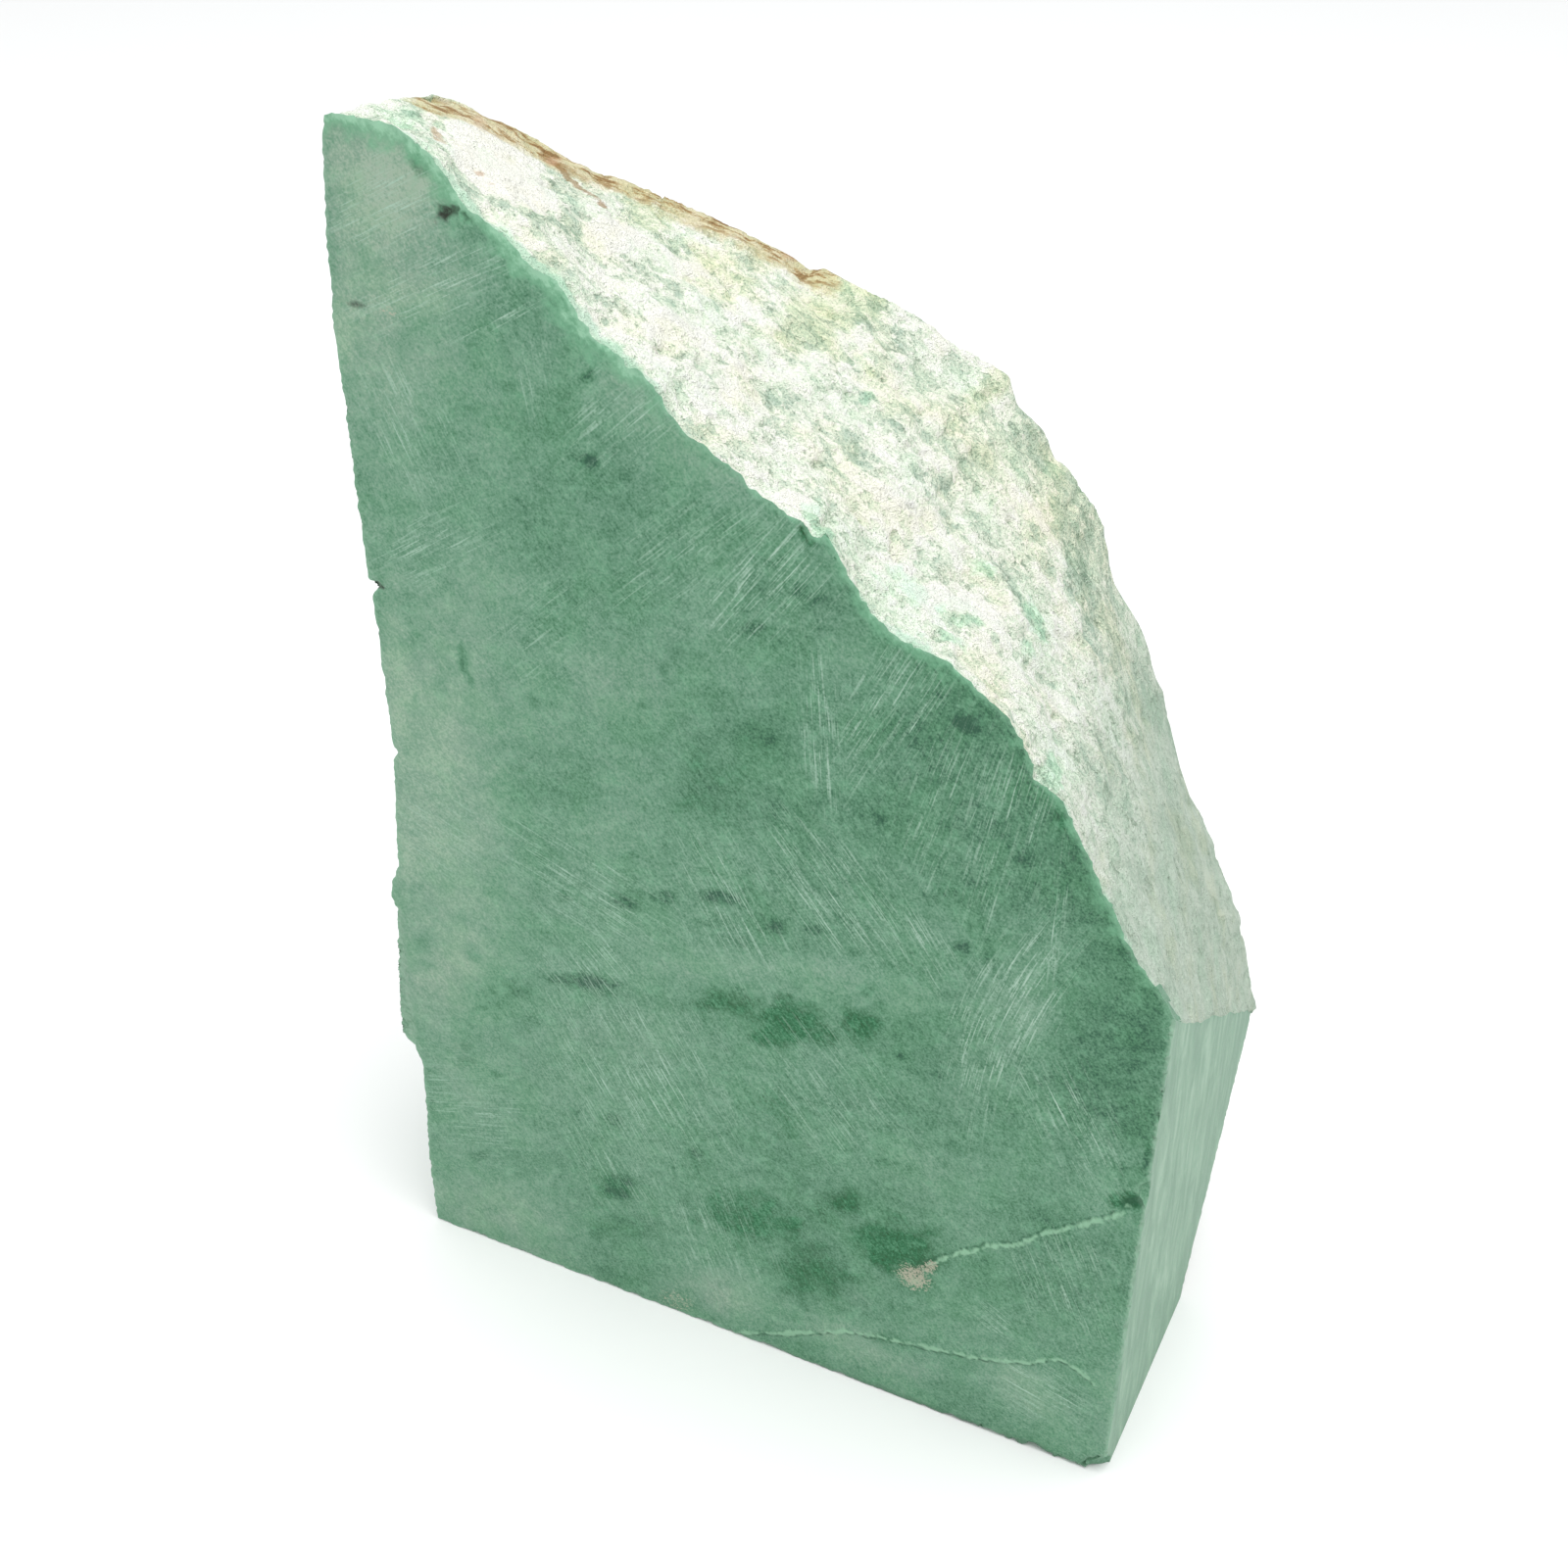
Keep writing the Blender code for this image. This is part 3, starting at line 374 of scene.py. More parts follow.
def longest(p, regions):
    """Longest length allowed for an edge with this middle and these regions beside it."""
    if len(regions) > 1 or CHIP in regions:
        return EDGE_OUTLINE
    if LEFT in regions:
        return EDGE_LEFT if p.y > LEFT_FRINGE else EDGE_OUTLINE
    if p.y > BACK_DEPTH and p.z < roof_edge_height(p.x) - BACK_BELOW:
        return EDGE_BACK
    return EDGE_ROOF if p.y > ROOF_FRINGE else EDGE_OUTLINE


def split_triangle(a, b, c, middle):
    """The triangles that a triangle becomes when the edges in middle are halved."""
    ab, bc, ca = (middle.get(key(*pair)) for pair in ((a, b), (b, c), (c, a)))
    count = (ab is not None) + (bc is not None) + (ca is not None)
    if count == 0:
        return ((a, b, c),)
    if count == 3:
        return ((a, ab, ca), (ab, b, bc), (ca, bc, c), (ab, bc, ca))
    while ab is None or (count == 2 and ca is not None):
        a, b, c = b, c, a
        ab, bc, ca = bc, ca, ab
    if count == 1:
        return ((a, ab, c), (ab, b, c))
    return ((ab, b, bc), (a, ab, bc), (a, bc, c))


def key(a, b):
    """Name of an edge, the same from both ends."""
    return (a, b) if a < b else (b, a)


def refine(points, triangles, outlines):
    """Halve long edges until none is longer than its region allows.

    points is a list of places, triangles a list of (a, b, c, region), and outlines the edges
    of each saw plane. Returns the new triangles and outlines; points grows in place.
    """
    for _ in range(12):
        beside = {}
        for a, b, c, region in triangles:
            for pair in (key(a, b), key(b, c), key(c, a)):
                beside.setdefault(pair, set()).add(region)
        for edges in outlines.values():
            for a, b in edges:
                beside.setdefault(key(a, b), set()).add(SAWN)
        middle = {}
        for (a, b), regions in beside.items():
            centre = (points[a] + points[b]) / 2
            if (points[a] - points[b]).length > longest(centre, regions | {min(regions)}):
                middle[(a, b)] = len(points)
                points.append(centre)
        if not middle:
            break
        triangles = [
            (*part, region)
            for a, b, c, region in triangles
            for part in split_triangle(a, b, c, middle)
        ]
        for name, edges in outlines.items():
            halves = []
            for a, b in edges:
                m = middle.get(key(a, b))
                halves += [(a, b)] if m is None else [(a, m), (m, b)]
            outlines[name] = halves
    return triangles, outlines


def tree_of(places):
    """Search tree of places."""
    tree = kdtree.KDTree(len(places))
    for i, p in enumerate(places):
        tree.insert(p, i)
    tree.balance()
    return tree


def fill_points(boundary, dense_near):
    """Inner points for a flat fill: fine near the outline and the veins, coarse elsewhere."""
    tree = tree_of([p.to_3d() for p in boundary])
    low = Vector((min(p.x for p in boundary), min(p.y for p in boundary)))
    high = Vector((max(p.x for p in boundary), max(p.y for p in boundary)))
    points = []
    for j in range(int((high.y - low.y) / FILL_STEP / FILL_ROW) + 1):
        for i in range(int((high.x - low.x) / FILL_STEP) + 1):
            p = low + Vector((i + 0.5 * (j % 2), j * FILL_ROW)) * FILL_STEP
            gap = tree.find(p.to_3d())[2]
            near = gap < FILL_FINE or dense_near(p)
            if gap < FILL_GAP or (not near and (i % 2 or j % 2)):
                continue
            shake = Vector((random.uniform(-1, 1), random.uniform(-1, 1)))
            points.append(p + shake * FILL_SHAKE * FILL_STEP)
    return points


def fill_plane(points, name, edges):
    """Small triangles that fill one saw plane inside its outline; points grows in place."""
    across, depth, _, (i, j) = SAW_PLANES[name]
    rim = sorted({v for e in edges for v in e})
    place = {v: number for number, v in enumerate(rim)}
    flat = [Vector((points[v][i], points[v][j])) for v in rim]
    lines = [(place[a], place[b]) for a, b in edges]
    inner = fill_points(flat, near_vein if name == "front" else lambda p: False)
    made = geometry.delaunay_2d_cdt(flat + inner, lines, [], 1, 1e-5)
    spots, faces, sources = made[0], made[2], made[3]
    numbers = []
    for spot, source in zip(spots, sources):
        old = [v for v in source if v < len(rim)]
        numbers.append(rim[old[0]] if old else len(points))
        if not old:
            p = Vector()
            p[across], p[i], p[j] = depth, *spot
            points.append(p)
    return [(*(numbers[v] for v in face), SAWN) for face in faces]


def near_vein(p):
    """True close to a vein of the front face."""
    return vein_distance(p.x, p.y)[0] < VEIN_FINE


def segment_distance(x, z, a, b):
    """Distance from a point to a segment in the front plane, and its side as a sign."""
    dx, dz = b[0] - a[0], b[1] - a[1]
    share = ((x - a[0]) * dx + (z - a[1]) * dz) / (dx * dx + dz * dz)
    share = min(max(share, 0.0), 1.0)
    gx, gz = x - a[0] - share * dx, z - a[1] - share * dz
    side = dx * gz - dz * gx
    return math.hypot(gx, gz), side


def vein_distance(x, z):
    """Distance to the nearest vein, and on which side of it the point lies."""
    best = (99.0, 0.0)
    for vein in VEINS:
        if all(min(c) - VEIN_REACH < v < max(c) + VEIN_REACH for v, c in zip((x, z), zip(*vein))):
            for a, b in zip(vein, vein[1:]):
                best = min(best, segment_distance(x, z, a, b))
    return best


def dense_stone():
    """Points and triangles (a, b, c, region) of the stone in block coordinates, without relief."""
    bm = bmesh.new()
    bm.from_mesh(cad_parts[NODE].data)
    bm.transform(TO_BLOCK)
    bmesh.ops.remove_doubles(bm, verts=bm.verts, dist=0.002)
    bmesh.ops.triangulate(bm, faces=bm.faces)
    bm.normal_update()
    bm.verts.index_update()
    planes = {f: plane_of(f) for f in bm.faces}
    outlines = {name: [] for name in SAW_PLANES}
    for e in bm.edges:
        sides = {planes[f] for f in e.link_faces}
        if len(sides) == 2:
            for name in sides - {None}:
                outlines[name].append((e.verts[0].index, e.verts[1].index))
    points = [v.co.copy() for v in bm.verts]
    triangles = []
    for f in bm.faces:
        if planes[f] is None:
            triangles.append((*(v.index for v in f.verts), region_of(f)))
    bm.free()
    triangles, outlines = refine(points, triangles, outlines)
    triangles = [trimmed(points, *triangle) for triangle in triangles]
    for name, edges in outlines.items():
        triangles += fill_plane(points, name, edges)
    return points, triangles


# ==== relief
def run(value, start, end):
    """0 before start, 1 past end, and an even S-curve between; end may be the lower one."""
    share = np.clip((value - start) / (end - start), 0.0, 1.0)
    return share * share * (3.0 - 2.0 * share)


def field(points, size, octaves=2, seed=0.0, stretch=None):
    """Fractal noise of about -1 to 1 at each point. stretch is (direction, how much longer)."""
    places = np.asarray(points, float) / size
    if stretch is not None:
        direction = np.array(stretch[0], float)
        direction /= np.linalg.norm(direction)
        along = places @ direction
        places = places - np.outer(along * (1.0 - 1.0 / stretch[1]), direction)
    places = places + seed
    return np.array([noise.fractal(Vector(p), 1.0, 2.1, octaves) for p in places])


class Stone:
    """Arrays of the stone's mesh in block coordinates; start keeps the places before relief."""

    def __init__(self, points, triangles):
        faces = np.array([t[:3] for t in triangles])
        self.region = np.array([t[3] for t in triangles])
        used, new = np.unique(faces, return_inverse=True)
        self.faces = new.reshape(faces.shape)
        self.co = np.array([tuple(points[i]) for i in used])
        self.start = self.co.copy()
        n = len(self.co)
        self.has = np.zeros((4, n), bool)
        for r in (SAWN, LEFT, RIND, CHIP):
            self.has[r, self.faces[self.region == r].ravel()] = True
        x, y, z = self.start.T
        self.front = np.abs(y) < ON_PLANE
        self.right = np.abs(x - BASE_WIDTH) < ON_PLANE
        self.flats = self.front.astype(int) + self.right + (np.abs(z) < ON_PLANE)
        self.along = x * RIDGE_LINE[0] + z * RIDGE_LINE[2]
        f = self.faces
        self.pairs = np.concatenate([f[:, [0, 1]], f[:, [1, 2]], f[:, [2, 0]]])
        self.count = np.zeros(n)
        np.add.at(self.count, self.pairs[:, 0], 1)
        self.normals()
        bordered = self.has[RIND] | self.has[LEFT] | self.has[CHIP] | (self.flats > 1)
        self.ridge = self.front & self.has[RIND]
        self.outline = self.front & bordered
        self.to_ridge = self.distance_to(self.ridge)
        self.to_outline = self.distance_to(self.outline)

    def normals(self):
        """Normal of every point, from the triangles as they are now."""
        a, b, c = (self.co[self.faces[:, i]] for i in range(3))
        cross = np.cross(b - a, c - a)
        total = np.zeros_like(self.co)
        for i in range(3):
            np.add.at(total, self.faces[:, i], cross)
        self.normal = total / np.maximum(np.linalg.norm(total, axis=1), 1e-12)[:, None]

    def blurred(self, values, share=0.5):
        """Values moved by a share towards the mean of their neighbours' values."""
        total = np.zeros_like(values)
        np.add.at(total, self.pairs[:, 0], values[self.pairs[:, 1]])
        return values + share * (total / self.count[:, None] - values)

    def smooth(self, who, times):
        """Laplacian smoothing of the marked points."""
        for _ in range(times):
            self.co[who] = self.blurred(self.co)[who]

    def distance_to(self, marked):
        """Distance from every point to the nearest marked point."""
        tree = tree_of(self.start[marked])
        return np.array([tree.find(p)[2] for p in self.start])


def seen_from(x, z, mark_x, mark_z, turn):
    """Distances from a mark's middle, along and across its direction."""
    c, s = math.cos(math.radians(turn)), math.sin(math.radians(turn))
    return (x - mark_x) * c + (z - mark_z) * s, -(x - mark_x) * s + (z - mark_z) * c


def ellipses(x, z, marks, rough=0.0):
    """Strength of a list of (x, z, half length, half width, turn, strength) marks."""
    total = np.zeros(len(x))
    for mx, mz, half_x, half_z, turn, strength in marks:
        u, v = seen_from(x, z, mx, mz, turn)
        reach = np.hypot(u / half_x, v / half_z)
        inside = run(reach + rough, 1.45, 0.35)
        total = np.maximum(total, strength * inside)
    return total


def fan_layer(x, z, fans):
    """For each point, distances along and across its strongest fan's scratches, and strength."""
    out = np.zeros((len(x), 3))
    for number, (mx, mz, half_along, half_across, turn, strength, *bend) in enumerate(fans):
        u, v = seen_from(x, z, mx, mz, turn)
        if bend:
            v = v + 0.5 * bend[0] * u * u
        reach = np.hypot(u / half_along, v / half_across)
        force = strength * run(reach, 1.25, 0.25) + 0.22 * np.exp(-0.7 * reach)
        better = force > out[:, 2]
        shift = FAN_SHIFT * number
        out[better] = np.stack([u + shift, v + shift, force], axis=1)[better]
    return out


def line_reading(points, line):
    """Distance from each point to a polyline in space, and the polyline's last value there."""
    best = np.full(len(points), 1e9)
    value = np.zeros(len(points))
    for a, b in zip(line[:-1], line[1:]):
        a, b = np.array(a), np.array(b)
        step = b[:3] - a[:3]
        share = np.clip((points - a[:3]) @ step / (step @ step), 0.0, 1.0)
        gap = np.linalg.norm(points - a[:3] - share[:, None] * step, axis=1)
        closer = gap < best
        best[closer] = gap[closer]
        value[closer] = (a[-1] + share * (b[-1] - a[-1]))[closer]
    return best, value


def raise_skyline(stone):
    """Bring the rind's far outline to its steps and knobs."""
    normal = stone.normal
    for _ in range(10):
        normal = stone.blurred(normal)
    normal = normal / np.linalg.norm(normal, axis=1)[:, None]
    gap, height = line_reading(stone.start, SKYLINE)
    free = (stone.has[RIND] | stone.has[LEFT]) & (stone.flats == 0)
    push = height * np.exp(-((gap / SKYLINE_REACH) ** 2))
    stone.co[free] += normal[free] * push[free, None]


def calm_rind(stone):
    """1 on the smooth lower right of the rind, 0 far from it."""
    x, _, z = stone.start.T
    return run(z, 82.0, 60.0) * run(x, 44.0, 58.0)


def far_shoulder(stone):
    """1 on the smoother far shoulder of the roof, 0 between it and the front."""
    line = SHOULDER_DEPTH - SHOULDER_SLOPE * stone.along
    return run(stone.start[:, 1] - line, 0.0, 3.0)


def rightward(stone):
    """0 up to x = 25, rising to 1 at x = 60, for the front foot's wear and its painted shade."""
    return run(stone.start[:, 0], 25.0, 60.0)


def mark_roof(stone):
    """Masks of the rind's marks and stains, and of the painted shade on its far shoulder."""
    start, y = stone.start, stone.start[:, 1]
    warp = 0.30 * field(start, 1.6, 2, 20.1)
    fine = 0.30 * field(start, 0.9, 2, 24.1)
    ragged = 0.6 * field(start, 1.6, 3, 44.1)
    calm = calm_rind(stone)
    # shoulder_shade: painted shade where the roof turns away from the lamp
    masks = {"calm": calm, "shoulder_shade": far_shoulder(stone) * (1.0 - 0.8 * calm)}
    on_roof = run(stone.normal[:, 1], 0.86, 0.66)
    for name, marks, border in (
        ("cream", CREAM, warp), ("beige", BEIGE, warp), ("olive", OLIVE, warp),
        ("rust", RUST, fine), ("mottle", MOTTLE, fine), ("green", GREEN, ragged),
    ):
        masks[name] = ellipses(stone.along, y, marks, border) * on_roof
    band_width = 2.3 + 1.3 * warp
    masks["iron"] = np.exp(-((line_reading(start, IRON_BAND)[0] / band_width) ** 2))
    masks["crack"] = np.exp(-((line_reading(start, IRON_CRACK)[0] / 0.35) ** 2))
    return masks


def mark_front(stone):
    """Masks of the front face's marks, edges and scratch fans, of the two side cuts, and of the ridge's
    painted glow and the foot's painted shade.
    """
    start = stone.start
    x, _, z = start.T
    on_front = stone.front.astype(float)
    wide = 0.25 * field(start, 3.0, 2, 20.1)
    fine = 0.30 * field(start, 0.9, 2, 24.1)
    jagged = 0.6 * field(start, 2.2, 3, 40.1) + 0.5 * fine
    rim_width = np.interp(x, *zip(*RIM_WIDTHS))
    ragged = stone.to_ridge * (1.0 + 0.7 * field(start, 1.3, 3, 33.3)) / rim_width
    masks = {
        # rim: the mint band along the ridge, partly paler bruised edge and partly painted glow
        "rim": run(ragged, 1.5, 0.0) * np.clip(rim_width / 1.3, 0.45, 1.0),
        "lush": np.exp(-stone.to_ridge / 2.6) * run(x, 40.0, 55.0) * on_front,
        # painted contact shade along the foot of the front, stronger to the right
        "foot_shade": np.exp(-z / 0.6) * on_front * (0.25 + 0.75 * rightward(stone)),
        "edge": np.exp(-stone.to_outline / 0.45),
        "side": stone.right.astype(float),
        "wall": (stone.has[LEFT] & ~stone.front).astype(float),
    }
    for name, marks, border in (
        ("emerald", EMERALD, jagged), ("dark", DARK, fine), ("pale", PALE, wide),
        ("grey", GREY, wide), ("deep", DEEP, wide), ("haze_and_sheen", HAZE_AND_SHEEN, wide), ("washed_and_sheen", WASHED_AND_SHEEN, wide),
    ):
        masks[name] = ellipses(x, z, marks, border) * on_front
    for name, fans in (("fan_a", FANS_A), ("fan_b", FANS_B), ("fan_c", FANS_C)):
        masks[name] = fan_layer(x, z, fans) * on_front[:, None]
    return masks


def shape_rind(stone, cream):
    """Knobs, foliation, grain and pits of the rind, quieter where it is smooth; returns them."""
    start = stone.start
    lively = 1.0 - 0.60 * np.maximum(calm_rind(stone), 0.6 * far_shoulder(stone))
    knobs = 0.30 * field(start, 2.6, 2, 3.1)
    leaves = 0.26 * field(start, 1.4, 2, 8.4, (RIDGE_LINE, 3.2))
    grain = 0.17 * field(start, 0.8, 3, 5.7)
    pits = -0.45 * run(field(start, 1.9, 1, 11.3), 0.33, 0.63)
    relief = (knobs + leaves + grain + pits) * lively * (1.0 - 0.55 * cream)
    relief *= run(stone.to_ridge, -0.24, 1.36)
    relief *= 1.0 - 0.6 * np.exp(-((line_reading(start, IRON_BAND)[0] / 3.0) ** 2))
    inner = stone.has[RIND] & (stone.flats == 0)
    stone.co[inner] += stone.normal[inner] * relief[inner, None]
    return relief


def shape_wall(stone):
    """Saw lines of the left side, and the torn surface of its snapped band."""
    start, z = stone.start, stone.start[:, 2]
    wall = stone.has[LEFT] & ~stone.has[RIND]
    band = run(z, 23.0, 25.0) * run(z, 48.0, 45.5)
    phase = z / 1.15 + 0.8 * field(start, 5.0, 2, 2.2)
    lines = 0.05 * np.sin(2.0 * math.pi * phase) * (0.6 + 0.8 * field(start, 2.0, 1, 2.9))
    torn = 0.30 * field(start, 2.2, 3, 6.6)
    push = lines * (1.0 - 0.7 * band) + torn * band + 0.09 * field(start, 1.0, 2, 1.3)
    stone.co[wall, 0] -= push[wall]


def cut_veins(stone, rough):
    """How deep the veins sink or raise the front, the mask of a vein's pale line (partly painted
    highlight), and its painted shadow below.
    """
    start = stone.start
    x, _, z = start.T
    sunk, vein, under = np.zeros((3, len(x)))
    near_x = x + 0.30 * field(start, 1.1, 3, 31.0)
    near_z = z + 0.30 * field(start, 1.1, 3, 47.0)
    for i in np.flatnonzero(stone.front & (z < VEIN_TOP)):
        gap, side = vein_distance(near_x[i], near_z[i])
        if gap < VEIN_REACH:
            width = VEIN_WIDTH * max(0.3, 1.0 + 0.9 * rough[i])
            vein[i] = math.exp(-((gap / width) ** 2))
            sunk[i] -= VEIN_HEIGHT * vein[i] * (1.0 + 0.6 * rough[i])
            # below a vein: a painted shadow line, besides the step back
            if side < 0:
                under[i] = math.exp(-(((gap - 0.34) / 0.15) ** 2))
                sunk[i] += VEIN_STEP * run(gap, VEIN_STEP_WIDTH, 0.0)
    return sunk, vein, under


def shape_front(stone):
    """Veins, pits and the recessed strip of the front face; returns the masks of these, with the painted
    shade below the veins and in the chipped notch.
    """
    start = stone.start
    x, _, z = start.T
    rough = field(start, 0.9, 2, 4.4)
    sunk, vein, under = cut_veins(stone, rough)
    black = ellipses(x, z, BLACK, 0.2 * rough)
    pink = ellipses(x, z, PINK, 0.3 * rough)
    chipped = ellipses(x, z, CHIPPED, 0.3 * rough) * stone.front
    sunk += CHIPPED_DEPTH * chipped + BLACK_DEPTH * black
    sunk += PINK_DEPTH * pink * (pink > 0.5) * (1.0 + 1.2 * rough)
    strip = run(x, -0.2, -0.9) * run(z, 24.0, 26.0) * run(z, 43.0, 41.0)
    sunk += strip * (0.22 + 0.1 * np.sin(2.0 * math.pi * z / 0.9))
    sunk += 0.035 * field(start, 5.0, 2, 9.1) + 0.012 * field(start, 0.7, 1, 7.7)
    stone.co[stone.front, 1] += sunk[stone.front]
    return {
        "vein": vein,
        # painted shadow below the veins and painted shade in the chipped notch
        "under": np.maximum(under, chipped),
        "black": black * stone.front,
        "pink": pink * stone.front,
        "strip": strip * stone.front,
    }


def wear_edges(stone):
    """Nibbled outline, worn top left corner, and the front foot that stands clear of the floor."""
    co, start = stone.co, stone.start
    x, y, z = start.T
    bite = np.maximum(0.0, field(start, 1.1, 3, 12.5) + 0.12)
    nibble = 0.20 * field(start, 0.75, 2, 15.5)
    sway = field(start, 2.3, 2, 18.5)
    rough_corner = run(x, 56.0, 62.0) * run(z, 4.0, 1.0)
    rough_side = run(z, 39.0, 43.0) * run(z, 52.0, 48.0) * (x > 70.0)
    depth = 0.28 + 0.9 * rough_corner + 0.5 * rough_side
    co[stone.outline, 1] += (bite * depth)[stone.outline]
    ridge = stone.ridge & (stone.flats == 1)
    co[ridge, 2] += (nibble + 0.12 * sway)[ridge]
    co[ridge, 0] += (nibble - 0.08 * sway)[ridge]
    side_edge = stone.front & stone.right
    co[side_edge, 0] -= (bite * (depth + 0.25))[side_edge]

    right = rightward(stone)
    notch = np.maximum(0.0, field(start, 2.9, 3, 61.0))
    lift = FOOT_LIFT * (1.0 + right) + notch * (0.3 + 0.6 * right)
    lift *= run(y, FOOT_DEPTH, 0.0) * np.maximum(0.0, 1.0 - z / FOOT_HEIGHT)
    co[:, 2] += lift
    from_left, from_top = x - x[stone.front].min(), z - z.max()
    corner = np.exp(-((from_left / 1.3) ** 2) - (from_top / 1.7) ** 2) * (y < 3.0)
    co[:, 2] -= 0.9 * corner
    co[:, 0] += 0.5 * corner
    others = (stone.flats == 1) & ~stone.front & (stone.has[RIND] | stone.has[LEFT])
    co[others] -= stone.normal[others] * (0.18 * bite)[others, None]


def carve(stone):
    """Fine relief of every region; returns the masks that the materials read."""
    stone.smooth(stone.has[RIND] & ~stone.has[SAWN] & ~stone.has[LEFT] & ~stone.has[CHIP], 5)
    stone.normals()
    masks = {**mark_roof(stone), **mark_front(stone)}
    # The relief height also colours the rind: painted shade in its hollows and painted light on its
    # knobs.
    masks["height"] = shape_rind(stone, masks["cream"])
    shape_wall(stone)
    masks.update(shape_front(stone))
    wear_edges(stone)
    stone.normals()
    raise_skyline(stone)
    return masks


def placed(name, data):
    """A new object with this data, linked into the scene."""
    made = bpy.data.objects.new(name, data)
    bpy.context.collection.objects.link(made)
    return made


def stone_object():
    """The finished stone as an object in the row frame, with its masks as attributes."""
    stone = Stone(*dense_stone())
    masks = carve(stone)
    mesh = bpy.data.meshes.new("jade_stone")
    places = [TO_ROW @ Vector(p) for p in stone.co]
    mesh.from_pydata(places, [], stone.faces.tolist())
    mesh.polygons.foreach_set("material_index", (stone.region == RIND).astype(np.int32))
    for name, values in masks.items():
        is_vector = values.ndim == 2
        layer = mesh.attributes.new(name, "FLOAT_VECTOR" if is_vector else "FLOAT", "POINT")
        numbers = np.ascontiguousarray(values, dtype=np.float32).ravel()
        layer.data.foreach_set("vector" if is_vector else "value", numbers)
    mesh.shade_smooth()
    mesh.set_sharp_from_angle(angle=math.radians(SHARP_ANGLE))
    mesh.update()
    return placed("jade_stone", mesh)


# ==== materials
FRONT_LIGHT = 1.22       # how much brighter than its own colour each side shows under the lamps
ROOF_LIGHT = 1.245
GLOSS = 0.018            # light that the surface's gloss adds to every colour
FRONT_STRETCH = (1.5, 1.0, 1.0)      # the front's clouds and mottle are longer along x
EVEN, UP, INWARD = Vector((1.0, 1.0, 1.0)), Vector((0.0, 0.0, 1.0)), Vector((0.0, 1.0, 0.0))


